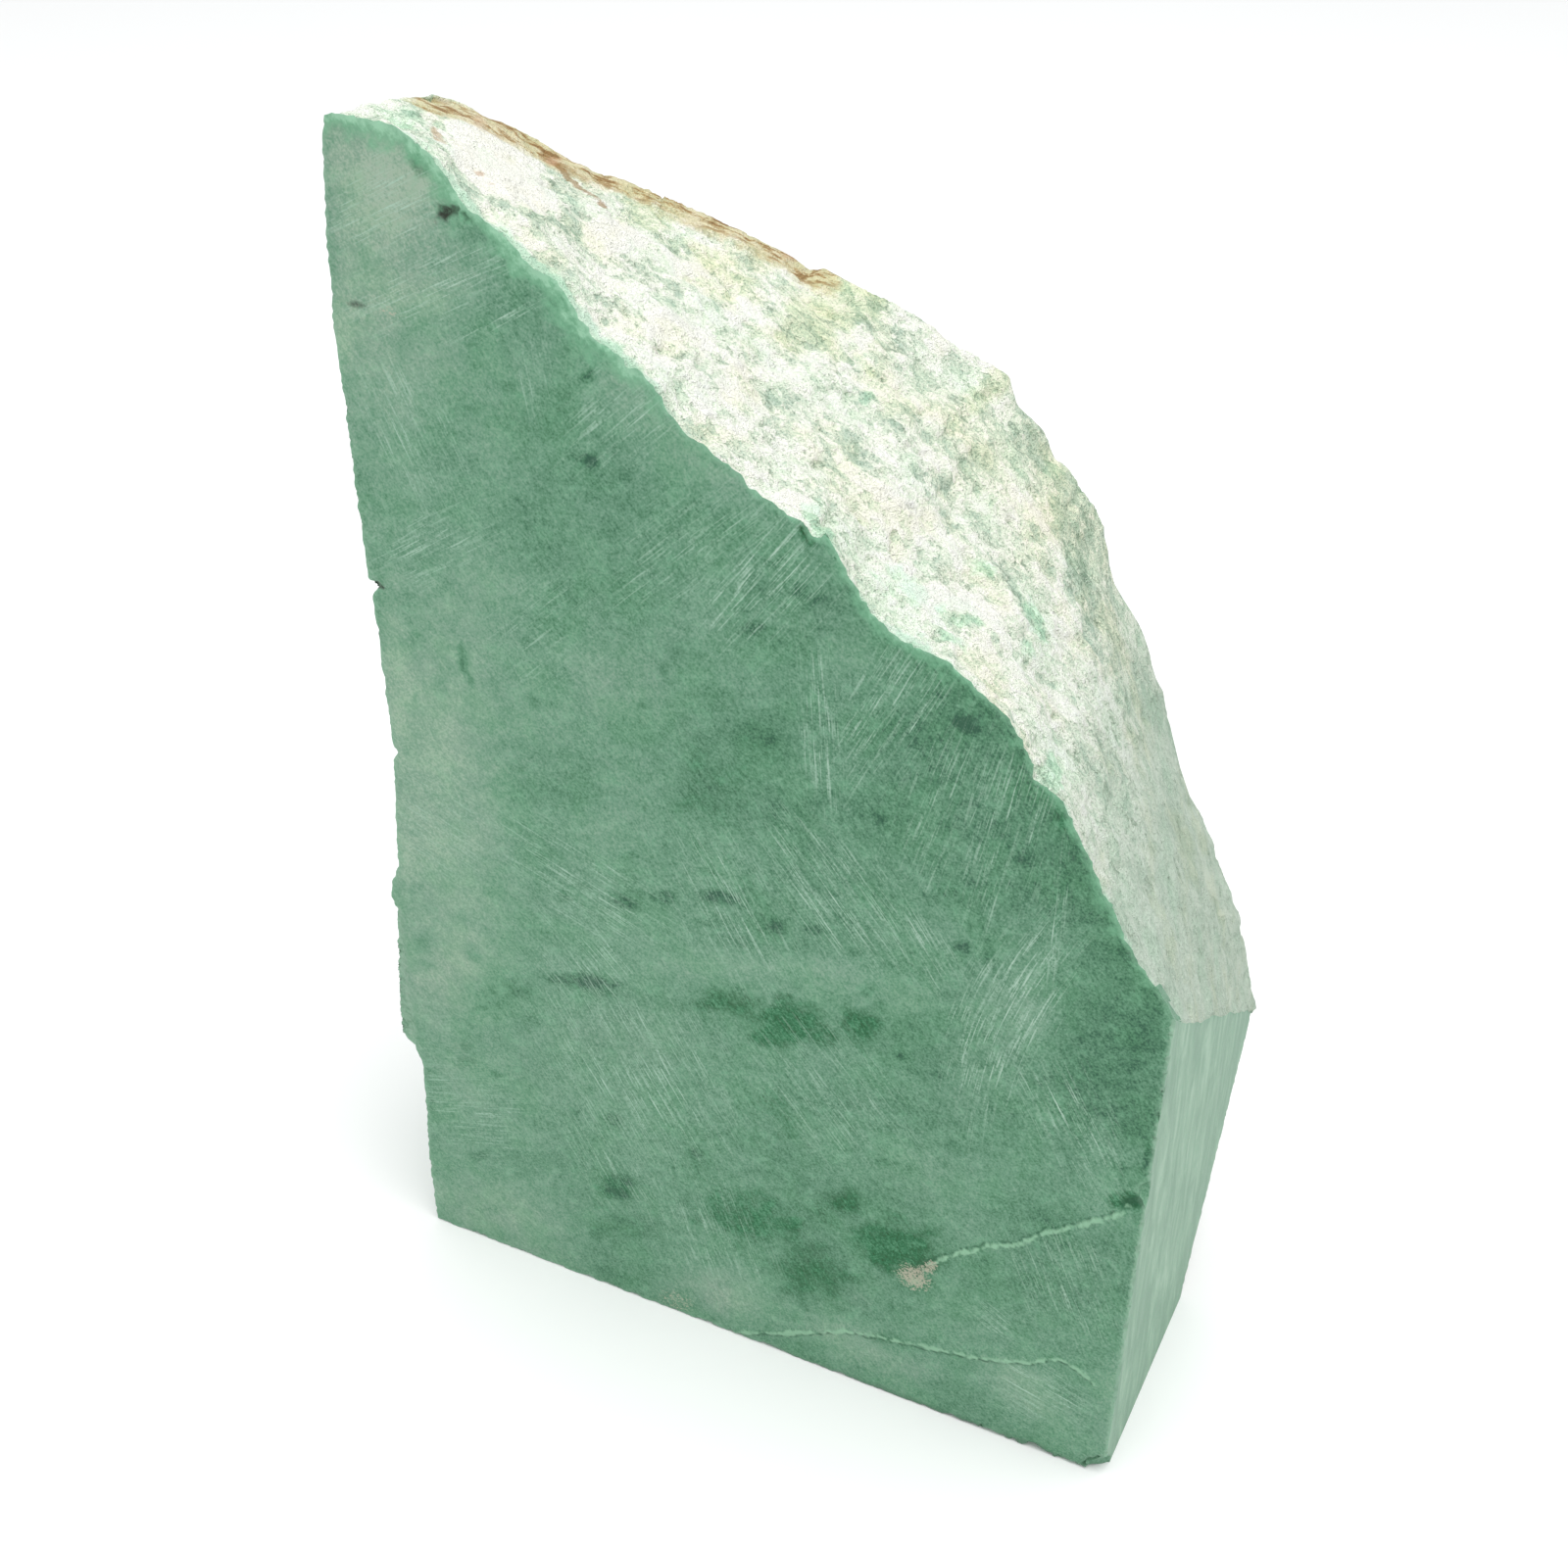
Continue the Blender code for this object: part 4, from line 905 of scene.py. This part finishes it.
class Nodes:
    """Short calls for building a node material.

    Colours are given as they show in the picture, from 0 to 255. An input may be a number, the
    output of another node, or the name of one of the mesh's masks.
    """

    def __init__(self, name, light):
        self.light = light
        self.material = bpy.data.materials.new(name)
        self.material.use_nodes = True
        self.tree = self.material.node_tree
        self.shader = self.tree.nodes["Principled BSDF"]

    def add(self, kind, inputs=(), **settings):
        """A new node, with its inputs given by name or number."""
        node = self.tree.nodes.new(kind)
        for setting, value in settings.items():
            setattr(node, setting, value)
        for socket, value in dict(inputs).items():
            self.feed(node.inputs[socket], value)
        return node

    def feed(self, socket, value):
        """Set a socket to a value, or link it to an output or to a mask of the mesh."""
        if isinstance(value, str):
            value = self.add("ShaderNodeAttribute", attribute_name=value).outputs["Fac"]
        if isinstance(value, bpy.types.NodeSocket):
            self.tree.links.new(value, socket)
        else:
            socket.default_value = value

    def math(self, operation, a, b=0.0, c=0.0):
        """Result of a math node."""
        return self.add("ShaderNodeMath", {0: a, 1: b, 2: c}, operation=operation).outputs[0]

    def times(self, a, b):
        """The product of two values."""
        return self.math("MULTIPLY", a, b)

    def colour(self, red, green, blue):
        """Linear colour of the surface that shows as these 0 to 255 numbers under the lamps."""
        def linear(v):
            v /= 255.0
            v = v / 12.92 if v <= 0.04045 else ((v + 0.055) / 1.055) ** 2.4
            return min(1.0, max(0.0, v - GLOSS) / self.light)
        return (linear(red), linear(green), linear(blue), 1.0)

    def mix(self, under, share, over, amount, blend):
        """Two colours blended by the share times the amount."""
        node = self.add("ShaderNodeMix", data_type="RGBA", blend_type=blend, clamp_factor=True)
        self.feed(node.inputs[0], share if amount == 1.0 else self.times(share, amount))
        self.feed(node.inputs[6], under)
        self.feed(node.inputs[7], over)
        return node.outputs[2]

    def paint(self, under, share, rgb, amount=1.0):
        """The colour under, with rgb laid over it by the share times the amount."""
        under, over = (self.colour(*c) if isinstance(c, tuple) else c for c in (under, rgb))
        return self.mix(under, share, over, amount, "MIX")

    def tint(self, under, share, factors, amount=1.0):
        """The colour under, multiplied by factors for red, green and blue by the share."""
        return self.mix(under, share, (*factors, 1.0), amount, "MULTIPLY")

    def total(self, start, *parts):
        """start plus every (value, weight) pair's product."""
        for value, weight in parts:
            start = self.math("MULTIPLY_ADD", value, weight, start)
        return start

    def around(self, middle, *parts):
        """The total of noises that swing around 0.5, moved so that it swings around middle."""
        return self.total(middle - 0.5 * sum(weight for _, weight in parts), *parts)

    def ramp(self, value, *stops):
        """Colour that belongs to a value, blended between (value, rgb) stops."""
        node = self.add("ShaderNodeValToRGB", {0: value})
        points = node.color_ramp.elements
        points[0].position, points[1].position = stops[0][0], stops[-1][0]
        for place, _ in stops[1:-1]:
            points.new(place)
        for point, (_, rgb) in zip(points, stops):
            point.color = self.colour(*rgb)
        return node.outputs[0]

    def span(self, value, low, high, to_low=0.0, to_high=1.0):
        """The value's run from low to high, as a run from to_low to to_high, clamped."""
        limits = {"From Min": low, "From Max": high, "To Min": to_low, "To Max": to_high}
        return self.add("ShaderNodeMapRange", {"Value": value, **limits}).outputs[0]

    def broken(self, mask, grain, low=0.30, high=0.62, amount=0.9):
        """A mask whose border is broken up by a grain noise."""
        ragged = self.math("MULTIPLY_ADD", grain, amount, self.math("SUBTRACT", mask, 0.5 * amount))
        return self.times(self.span(ragged, low, high), self.span(mask, 0.02, 0.2))

    def millimetres(self):
        """Object coordinates in millimetres."""
        inputs = {0: self.add("ShaderNodeTexCoord").outputs["Object"], "Scale": 1.0 / MM}
        return self.add("ShaderNodeVectorMath", inputs, operation="SCALE").outputs[0]

    def turned(self, place, turn, stretch):
        """Coordinates turned by angles in degrees and stretched: larger numbers, longer marks."""
        turn = tuple(math.radians(a) for a in turn)
        inputs = {"Vector": place, "Rotation": turn, "Scale": stretch}
        return self.add("ShaderNodeMapping", inputs, vector_type="TEXTURE").outputs[0]

    def noise(self, place, size, detail, rough, distort=0.0):
        """Noise around 0.5 with lumps of this size."""
        inputs = {"Vector": place, "Scale": 1.0 / size, "Detail": detail, "Roughness": rough}
        return self.add("ShaderNodeTexNoise", {**inputs, "Distortion": distort}).outputs[0]

    def cells(self, place, size, ragged=0.5):
        """A random value for each of many ragged cells."""
        shake = self.add("ShaderNodeTexNoise", {"Vector": place, "Scale": 1.6 / size, "Detail": 3.0})
        inputs = {0: shake.outputs["Color"], 1: EVEN * ragged * size, 2: place}
        moved = self.add("ShaderNodeVectorMath", inputs, operation="MULTIPLY_ADD").outputs[0]
        cell = self.add("ShaderNodeTexVoronoi", {"Vector": moved, "Scale": 1.0 / size})
        return self.add("ShaderNodeSeparateColor", {0: cell.outputs["Color"]}).outputs[0]

    def scratches(self, name, speck):
        """Hairlines and soft brushed streaks along a fan layer, times the layer's strength."""
        vector = self.add("ShaderNodeAttribute", attribute_name=name).outputs["Vector"]
        force = self.add("ShaderNodeSeparateXYZ", {0: vector}).outputs[2]

        def streak(length, width, detail):
            inputs = {0: vector, 1: (1.0 / length, 1.0 / width, 0.0)}
            lines = self.add("ShaderNodeVectorMath", inputs, operation="MULTIPLY").outputs[0]
            return self.noise(lines, 1.0, detail, 0.6)

        hair = self.span(self.total(streak(5.0, 0.17, 2.0), (speck, 0.16)), 0.60, 0.73)
        hair = self.times(hair, self.span(streak(6.0, 1.3, 2.0), 0.38, 0.6))
        soft = self.span(streak(8.0, 0.5, 3.0), 0.50, 0.72)
        soft = self.times(soft, self.span(speck, 0.35, 0.6, 0.4, 1.0))
        return self.times(self.total(hair, (soft, 0.5)), force)

    def bump(self, height, distance, strength, under=None):
        """Normals that follow a height, over those of an earlier bump; the distance is in mm."""
        inputs = {"Height": height, "Distance": distance * MM, "Strength": strength}
        if under is not None:
            inputs["Normal"] = under
        return self.add("ShaderNodeBump", inputs).outputs[0]

    def finished(self, base, roughness, specular, normal):
        """The material, with these on its shader."""
        values = {"Base Color": base, "Roughness": roughness, "Specular IOR Level": specular}
        for socket, value in {**values, "Normal": normal}.items():
            self.feed(self.shader.inputs[socket], value)
        return self.material


def sawn_side(n, place, travel):
    """Colour of a pale side cut: blotches and streaks drawn out along the saw's travel."""
    blotch = n.noise(n.turned(place, (8.0, 0.0, 0.0), EVEN + 3.5 * travel), 2.6, 5.0, 0.62, 0.6)
    streak = n.noise(n.turned(place, (5.0, 0.0, 0.0), EVEN + 9.0 * travel), 1.2, 2.0, 0.5)
    base = n.paint((147, 183, 157), n.span(blotch, 0.46, 0.56, 0.0, 0.7), (126, 162, 139))
    base = n.paint(base, n.span(blotch, 0.45, 0.36, 0.0, 0.9), (168, 200, 176))
    base = n.paint(base, n.span(streak, 0.52, 0.66, 0.0, 0.22), (174, 204, 181))
    return n.paint(base, n.span(streak, 0.46, 0.34, 0.0, 0.22), (122, 156, 134))


def jade_ground(n, place, mottle, grain, speck):
    """Mottled green of the front face, with its emerald patches."""
    cloud = n.noise(n.turned(place, (0.0, -20.0, 0.0), FRONT_STRETCH), 6.0, 3.0, 0.6)
    hue = n.noise(place, 4.5, 3.0, 0.6)
    even = n.around(0.48, (cloud, 0.45), (mottle, 0.30), (grain, 0.70), (speck, 0.70))
    # washed_and_sheen, haze_and_sheen, and pale and grey at the top left lighten the front: partly its
    # own paler tone and scuffs, partly painted sheen.
    tone = n.total(
        even, ("washed_and_sheen", 0.31), ("pale", 0.16), ("grey", 0.10), ("deep", -0.20), ("lush", -0.12),
        ("haze_and_sheen", 0.30), (n.broken("dark", grain, 0.10, 0.80, 1.1), -0.44),
    )
    base = n.ramp(
        tone, (0.05, (48, 94, 72)), (0.25, (77, 128, 97)), (0.40, (96, 145, 114)),
        (0.50, (108, 155, 126)), (0.60, (118, 162, 134)), (0.72, (131, 168, 143)),
        (0.86, (146, 178, 153)), (1.0, (163, 189, 165)),
    )
    base = n.tint(base, n.span(hue, 0.50, 0.38), (0.92, 1.0, 0.94))
    base = n.tint(base, n.span(hue, 0.52, 0.64), (1.03, 0.99, 1.02))
    base = n.tint(base, "grey", (1.10, 0.98, 1.03), 0.8)
    base = n.tint(base, "lush", (0.84, 1.0, 0.88), 0.9)
    emerald = n.ramp(
        even, (0.1, (18, 72, 40)), (0.35, (28, 94, 56)), (0.5, (42, 112, 72)), (0.7, (76, 140, 102))
    )
    return n.paint(base, n.broken("emerald", mottle, 0.10, 0.80, 1.6), emerald)


def sawn_jade():
    """Sawn jade: the mottled front with its marks and scratches, and the two side cuts; painted glow and
    highlight at the ridge, painted shade at the foot and below the veins.
    """
    n = Nodes("sawn_jade", FRONT_LIGHT)
    place = n.millimetres()
    mottle = n.noise(n.turned(place, (0.0, -20.0, 0.0), FRONT_STRETCH), 1.5, 4.0, 0.70)
    grain = n.noise(n.turned(place, (0.0, 55.0, 0.0), (2.4, 1.0, 1.0)), 0.42, 3.0, 0.75)
    speck = n.noise(place, 0.20, 1.0, 0.5)
    scratch = n.scratches("fan_a", speck)
    for fan in ("fan_b", "fan_c"):
        scratch = n.math("MAXIMUM", scratch, n.scratches(fan, speck))

    base = jade_ground(n, place, mottle, grain, speck)
    strip = n.times("strip", n.span(grain, 0.4, 0.6, 0.35, 1.0))
    base = n.paint(base, strip, (164, 192, 170), 0.6)
    base = n.paint(base, "side", sawn_side(n, place, UP), 0.9)
    base = n.paint(base, "wall", sawn_side(n, place, INWARD), 0.6)
    base = n.paint(base, scratch, (176, 208, 187))
    for name, noise, low, high, ragged, amount, rgb in (
        # under: painted shadow below the veins and painted shade in the chipped notch
        ("under", grain, 0.3, 0.9, 1.2, 0.75, (44, 92, 64)),
        # vein: the vein's pale line, partly its own colour and partly painted highlight on its raised
        # ridge
        ("vein", grain, 0.3, 0.8, 1.2, 0.85, (154, 200, 166)),
        ("pink", speck, 0.3, 0.9, 3.0, 0.85, (190, 184, 164)),
        ("black", grain, 0.2, 0.6, 0.6, 0.95, (44, 44, 34)),
    ):
        base = n.paint(base, n.broken(name, noise, low, high, ragged), rgb, amount)
    # The ridge rim: partly a paler bruised edge and partly painted glow of light through the thin edge;
    # the brightest band beside the ridge is a painted highlight.
    rim = n.total(n.span(mottle, 0.35, 0.65, -0.25, 0.25), ("rim", 1.0))
    rim = n.total(n.span(grain, 0.3, 0.7, -0.2, 0.2), (rim, 1.0))
    base = n.paint(base, n.span(rim, 0.10, 0.75, 0.0, 0.75), (122, 182, 144))
    base = n.paint(base, n.span(rim, 0.75, 1.10, 0.0, 0.8), (166, 216, 182))
    # Painted contact shade: a dark band along the foot of the front.
    base = n.paint(base, n.broken("foot_shade", grain, 0.3, 0.8, 1.2), (40, 82, 58), 0.8)
    base = n.paint(base, n.broken("edge", grain, 0.3, 0.8, 1.0), (150, 192, 164), 0.3)
    normal = n.bump(scratch, 0.03, 0.6, n.bump(grain, 0.07, 0.6))
    return n.finished(base, n.span(grain, 0.3, 0.7, 0.5, 0.62), 0.4, normal)


def rind_ground(n, tone, hue, leaf):
    """Cream and grey-green of the rind, tinted where it is beige, olive, green or in shade."""
    base = n.ramp(
        tone, (0.20, (255, 255, 249)), (0.42, (253, 255, 242)), (0.50, (238, 247, 227)),
        (0.60, (220, 233, 212)), (0.72, (199, 218, 199)), (0.88, (172, 196, 174)),
        (1.0, (140, 168, 146)),
    )
    calm = n.ramp(tone, (0.25, (212, 226, 210)), (0.5, (196, 213, 195)), (0.72, (180, 201, 182)))
    base = n.paint(base, "calm", calm)
    for share, factors, amount in (
        (n.span(hue, 0.48, 0.36), (1.0, 0.985, 0.92), 1.0),
        (n.span(hue, 0.52, 0.64), (0.94, 1.0, 0.965), 1.0),
        ("beige", (1.02, 0.99, 0.91), 0.7),
        # painted shade on the far shoulder
        ("shoulder_shade", (1.0, 0.98, 0.94), 0.6),
        ("cream", (1.0, 0.995, 0.95), 1.0),
        (n.broken("olive", leaf, 0.1, 0.6, 1.6), (0.98, 0.98, 0.87), 1.0),
        (n.broken("green", leaf, 0.1, 0.6, 1.6), (0.84, 1.0, 0.92), 1.0),
    ):
        base = n.tint(base, share, factors, amount)
    return base


def iron_stain(n, base, leaf, thread):
    """The iron stain along the roof's back edge: a yellow band with two shades of brown threads."""
    base = n.paint(base, n.broken("iron", leaf, 0.30, 0.7, 1.2), (222, 208, 158), 0.7)
    brown = n.times(n.span(thread, 0.48, 0.55), n.span("iron", 0.35, 0.8))
    base = n.paint(base, brown, (180, 146, 92), 0.7)
    dark = n.times(n.span(thread, 0.54, 0.60), n.span("iron", 0.5, 0.9))
    return n.paint(base, dark, (142, 106, 62), 0.75)


def weathered_rind():
    """Weathered rind: cream and grey-green grain, with iron stain at the back edge, painted shade on the
    far shoulder and in hollows, and painted glow at the ridge.
    """
    n = Nodes("weathered_rind", ROOF_LIGHT)
    place = n.millimetres()
    ridge_turn = math.degrees(math.atan2(-RIDGE_LINE[2], RIDGE_LINE[0]))
    along = n.turned(place, (0.0, ridge_turn, 0.0), (1.5, 1.0, 1.0))
    leaf = n.noise(along, 1.6, 5.0, 0.72)
    grain = n.noise(place, 0.55, 3.0, 0.8)
    speck = n.noise(place, 0.20, 1.0, 0.5)
    tone = n.around(
        0.45, (n.noise(along, 4.2, 3.0, 0.6), 0.60), (leaf, 0.50), (grain, 0.95), (speck, 0.35),
        (n.cells(along, 0.9), 0.25),
    )
    # shoulder_shade and height add painted shade on the far shoulder and in the hollows, and painted
    # light on the knobs.
    tone = n.total(
        tone, (n.broken("cream", leaf, 0.25, 0.50, 1.0), -0.34), ("mottle", 0.28), ("green", 0.12),
        ("olive", 0.10), ("beige", 0.02), ("shoulder_shade", 0.18), ("height", -0.12),
    )
    base = rind_ground(n, tone, n.noise(place, 6.0, 3.0, 0.6), leaf)
    fissure = n.math("ABSOLUTE", n.math("SUBTRACT", n.noise(along, 5.0, 3.0, 0.6), 0.5))
    fissure = n.times(n.span(fissure, 0.014, 0.003), n.span(tone, 0.46, 0.60))
    base = n.paint(base, fissure, (134, 152, 130), 0.55)
    pepper = n.times(n.span(speck, 0.60, 0.72), n.span(tone, 0.45, 0.80, 0.05, 0.8))
    base = n.paint(base, pepper, (140, 156, 136))
    banded = n.turned(place, (0.0, 25.7, 30.8), (4.0, 1.0, 1.0))
    base = iron_stain(n, base, leaf, n.noise(banded, 0.7, 4.0, 0.7))
    base = n.paint(base, n.broken("crack", grain), (160, 124, 78), 0.7)
    base = n.paint(base, n.broken("rust", grain, 0.35, 0.9, 1.2), (206, 168, 134), 0.6)
    # Pale mint beside the ridge: partly bruised edge, partly painted glow of light through the thin edge.
    rim = n.total(n.span(leaf, 0.35, 0.65, 0.3, -0.3), ("rim", 1.0))
    base = n.paint(base, n.span(rim, 0.35, 0.8, 0.0, 0.7), (190, 230, 202))
    normal = n.bump(grain, -0.15, 0.7, n.bump(tone, -0.6, 0.7))
    return n.finished(base, 0.7, 0.3, normal)


# ==== stage
FLOOR_HALF, FLOOR_COLOUR = 1.5, (0.865, 0.863, 0.857, 1.0)
ROOM_COLOUR, ROOM_STRENGTH = (0.97, 0.99, 1.0, 1.0), 0.85
LAMP_PLACE, LAMP_TARGET, LAMP_SIZE, LAMP_POWER = (0.10, -0.10, 0.75), (0.0, 0.0, 0.05), 0.6, 4.6


def add_floor():
    """Plain pale floor."""
    mesh = bpy.data.meshes.new("floor")
    corners = [(x * FLOOR_HALF, y * FLOOR_HALF, 0.0) for x, y in ((-1, -1), (1, -1), (1, 1), (-1, 1))]
    mesh.from_pydata(corners, [], [(0, 1, 2, 3)])
    floor = placed("floor", mesh)
    material = bpy.data.materials.new("pale_floor")
    material.use_nodes = True
    shader = material.node_tree.nodes["Principled BSDF"]
    shader.inputs["Base Color"].default_value = FLOOR_COLOUR
    shader.inputs["Roughness"].default_value = 0.9
    shader.inputs["Specular IOR Level"].default_value = 0.1
    mesh.materials.append(material)


def light_scene():
    """Plain soft studio light: a wide lamp overhead, which the camera doesn't see, and a room."""
    world = bpy.data.worlds.new("studio")
    bpy.context.scene.world = world
    world.use_nodes = True
    room = world.node_tree.nodes["Background"]
    room.inputs["Color"].default_value = ROOM_COLOUR
    room.inputs["Strength"].default_value = ROOM_STRENGTH
    data = bpy.data.lights.new("overhead", "AREA")
    data.size = LAMP_SIZE
    data.energy = LAMP_POWER
    lamp = placed("overhead", data)
    lamp.location = LAMP_PLACE
    lamp.rotation_mode = "QUATERNION"
    aim = Vector(LAMP_TARGET) - Vector(LAMP_PLACE)
    lamp.rotation_quaternion = aim.to_track_quat("-Z", "Y")
    lamp.visible_camera = False
    bpy.context.scene.view_settings.view_transform = "Standard"


def add_camera():
    """Camera at the fitted place, in the row frame."""
    pitch, turn, roll = (math.radians(a) for a in (CAMERA_PITCH, CAMERA_TURN, CAMERA_ROLL))
    level = Vector((math.cos(turn), math.sin(turn), 0.0))
    inward = Vector((-math.sin(turn), math.cos(turn), 0.0))
    forward = math.cos(pitch) * inward - math.sin(pitch) * UP
    upward = level.cross(forward)
    right = math.cos(roll) * level + math.sin(roll) * upward
    up = math.cos(roll) * upward - math.sin(roll) * level
    data = bpy.data.cameras.new("camera")
    data.sensor_width = SENSOR
    data.lens = FOCAL_PIXELS / IMAGE_WIDTH * SENSOR
    data.clip_start = 0.01
    camera = placed("camera", data)
    turned = Matrix((right, up, -forward)).transposed().to_4x4()
    camera.matrix_world = Matrix.Translation(TO_ROW @ Vector(CAMERA_PLACE)) @ turned
    bpy.context.scene.camera = camera


piece = stone_object()
piece.data.materials.append(sawn_jade())
piece.data.materials.append(weathered_rind())
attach(piece, "root")
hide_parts(NODE)
add_floor()
light_scene()
add_camera()
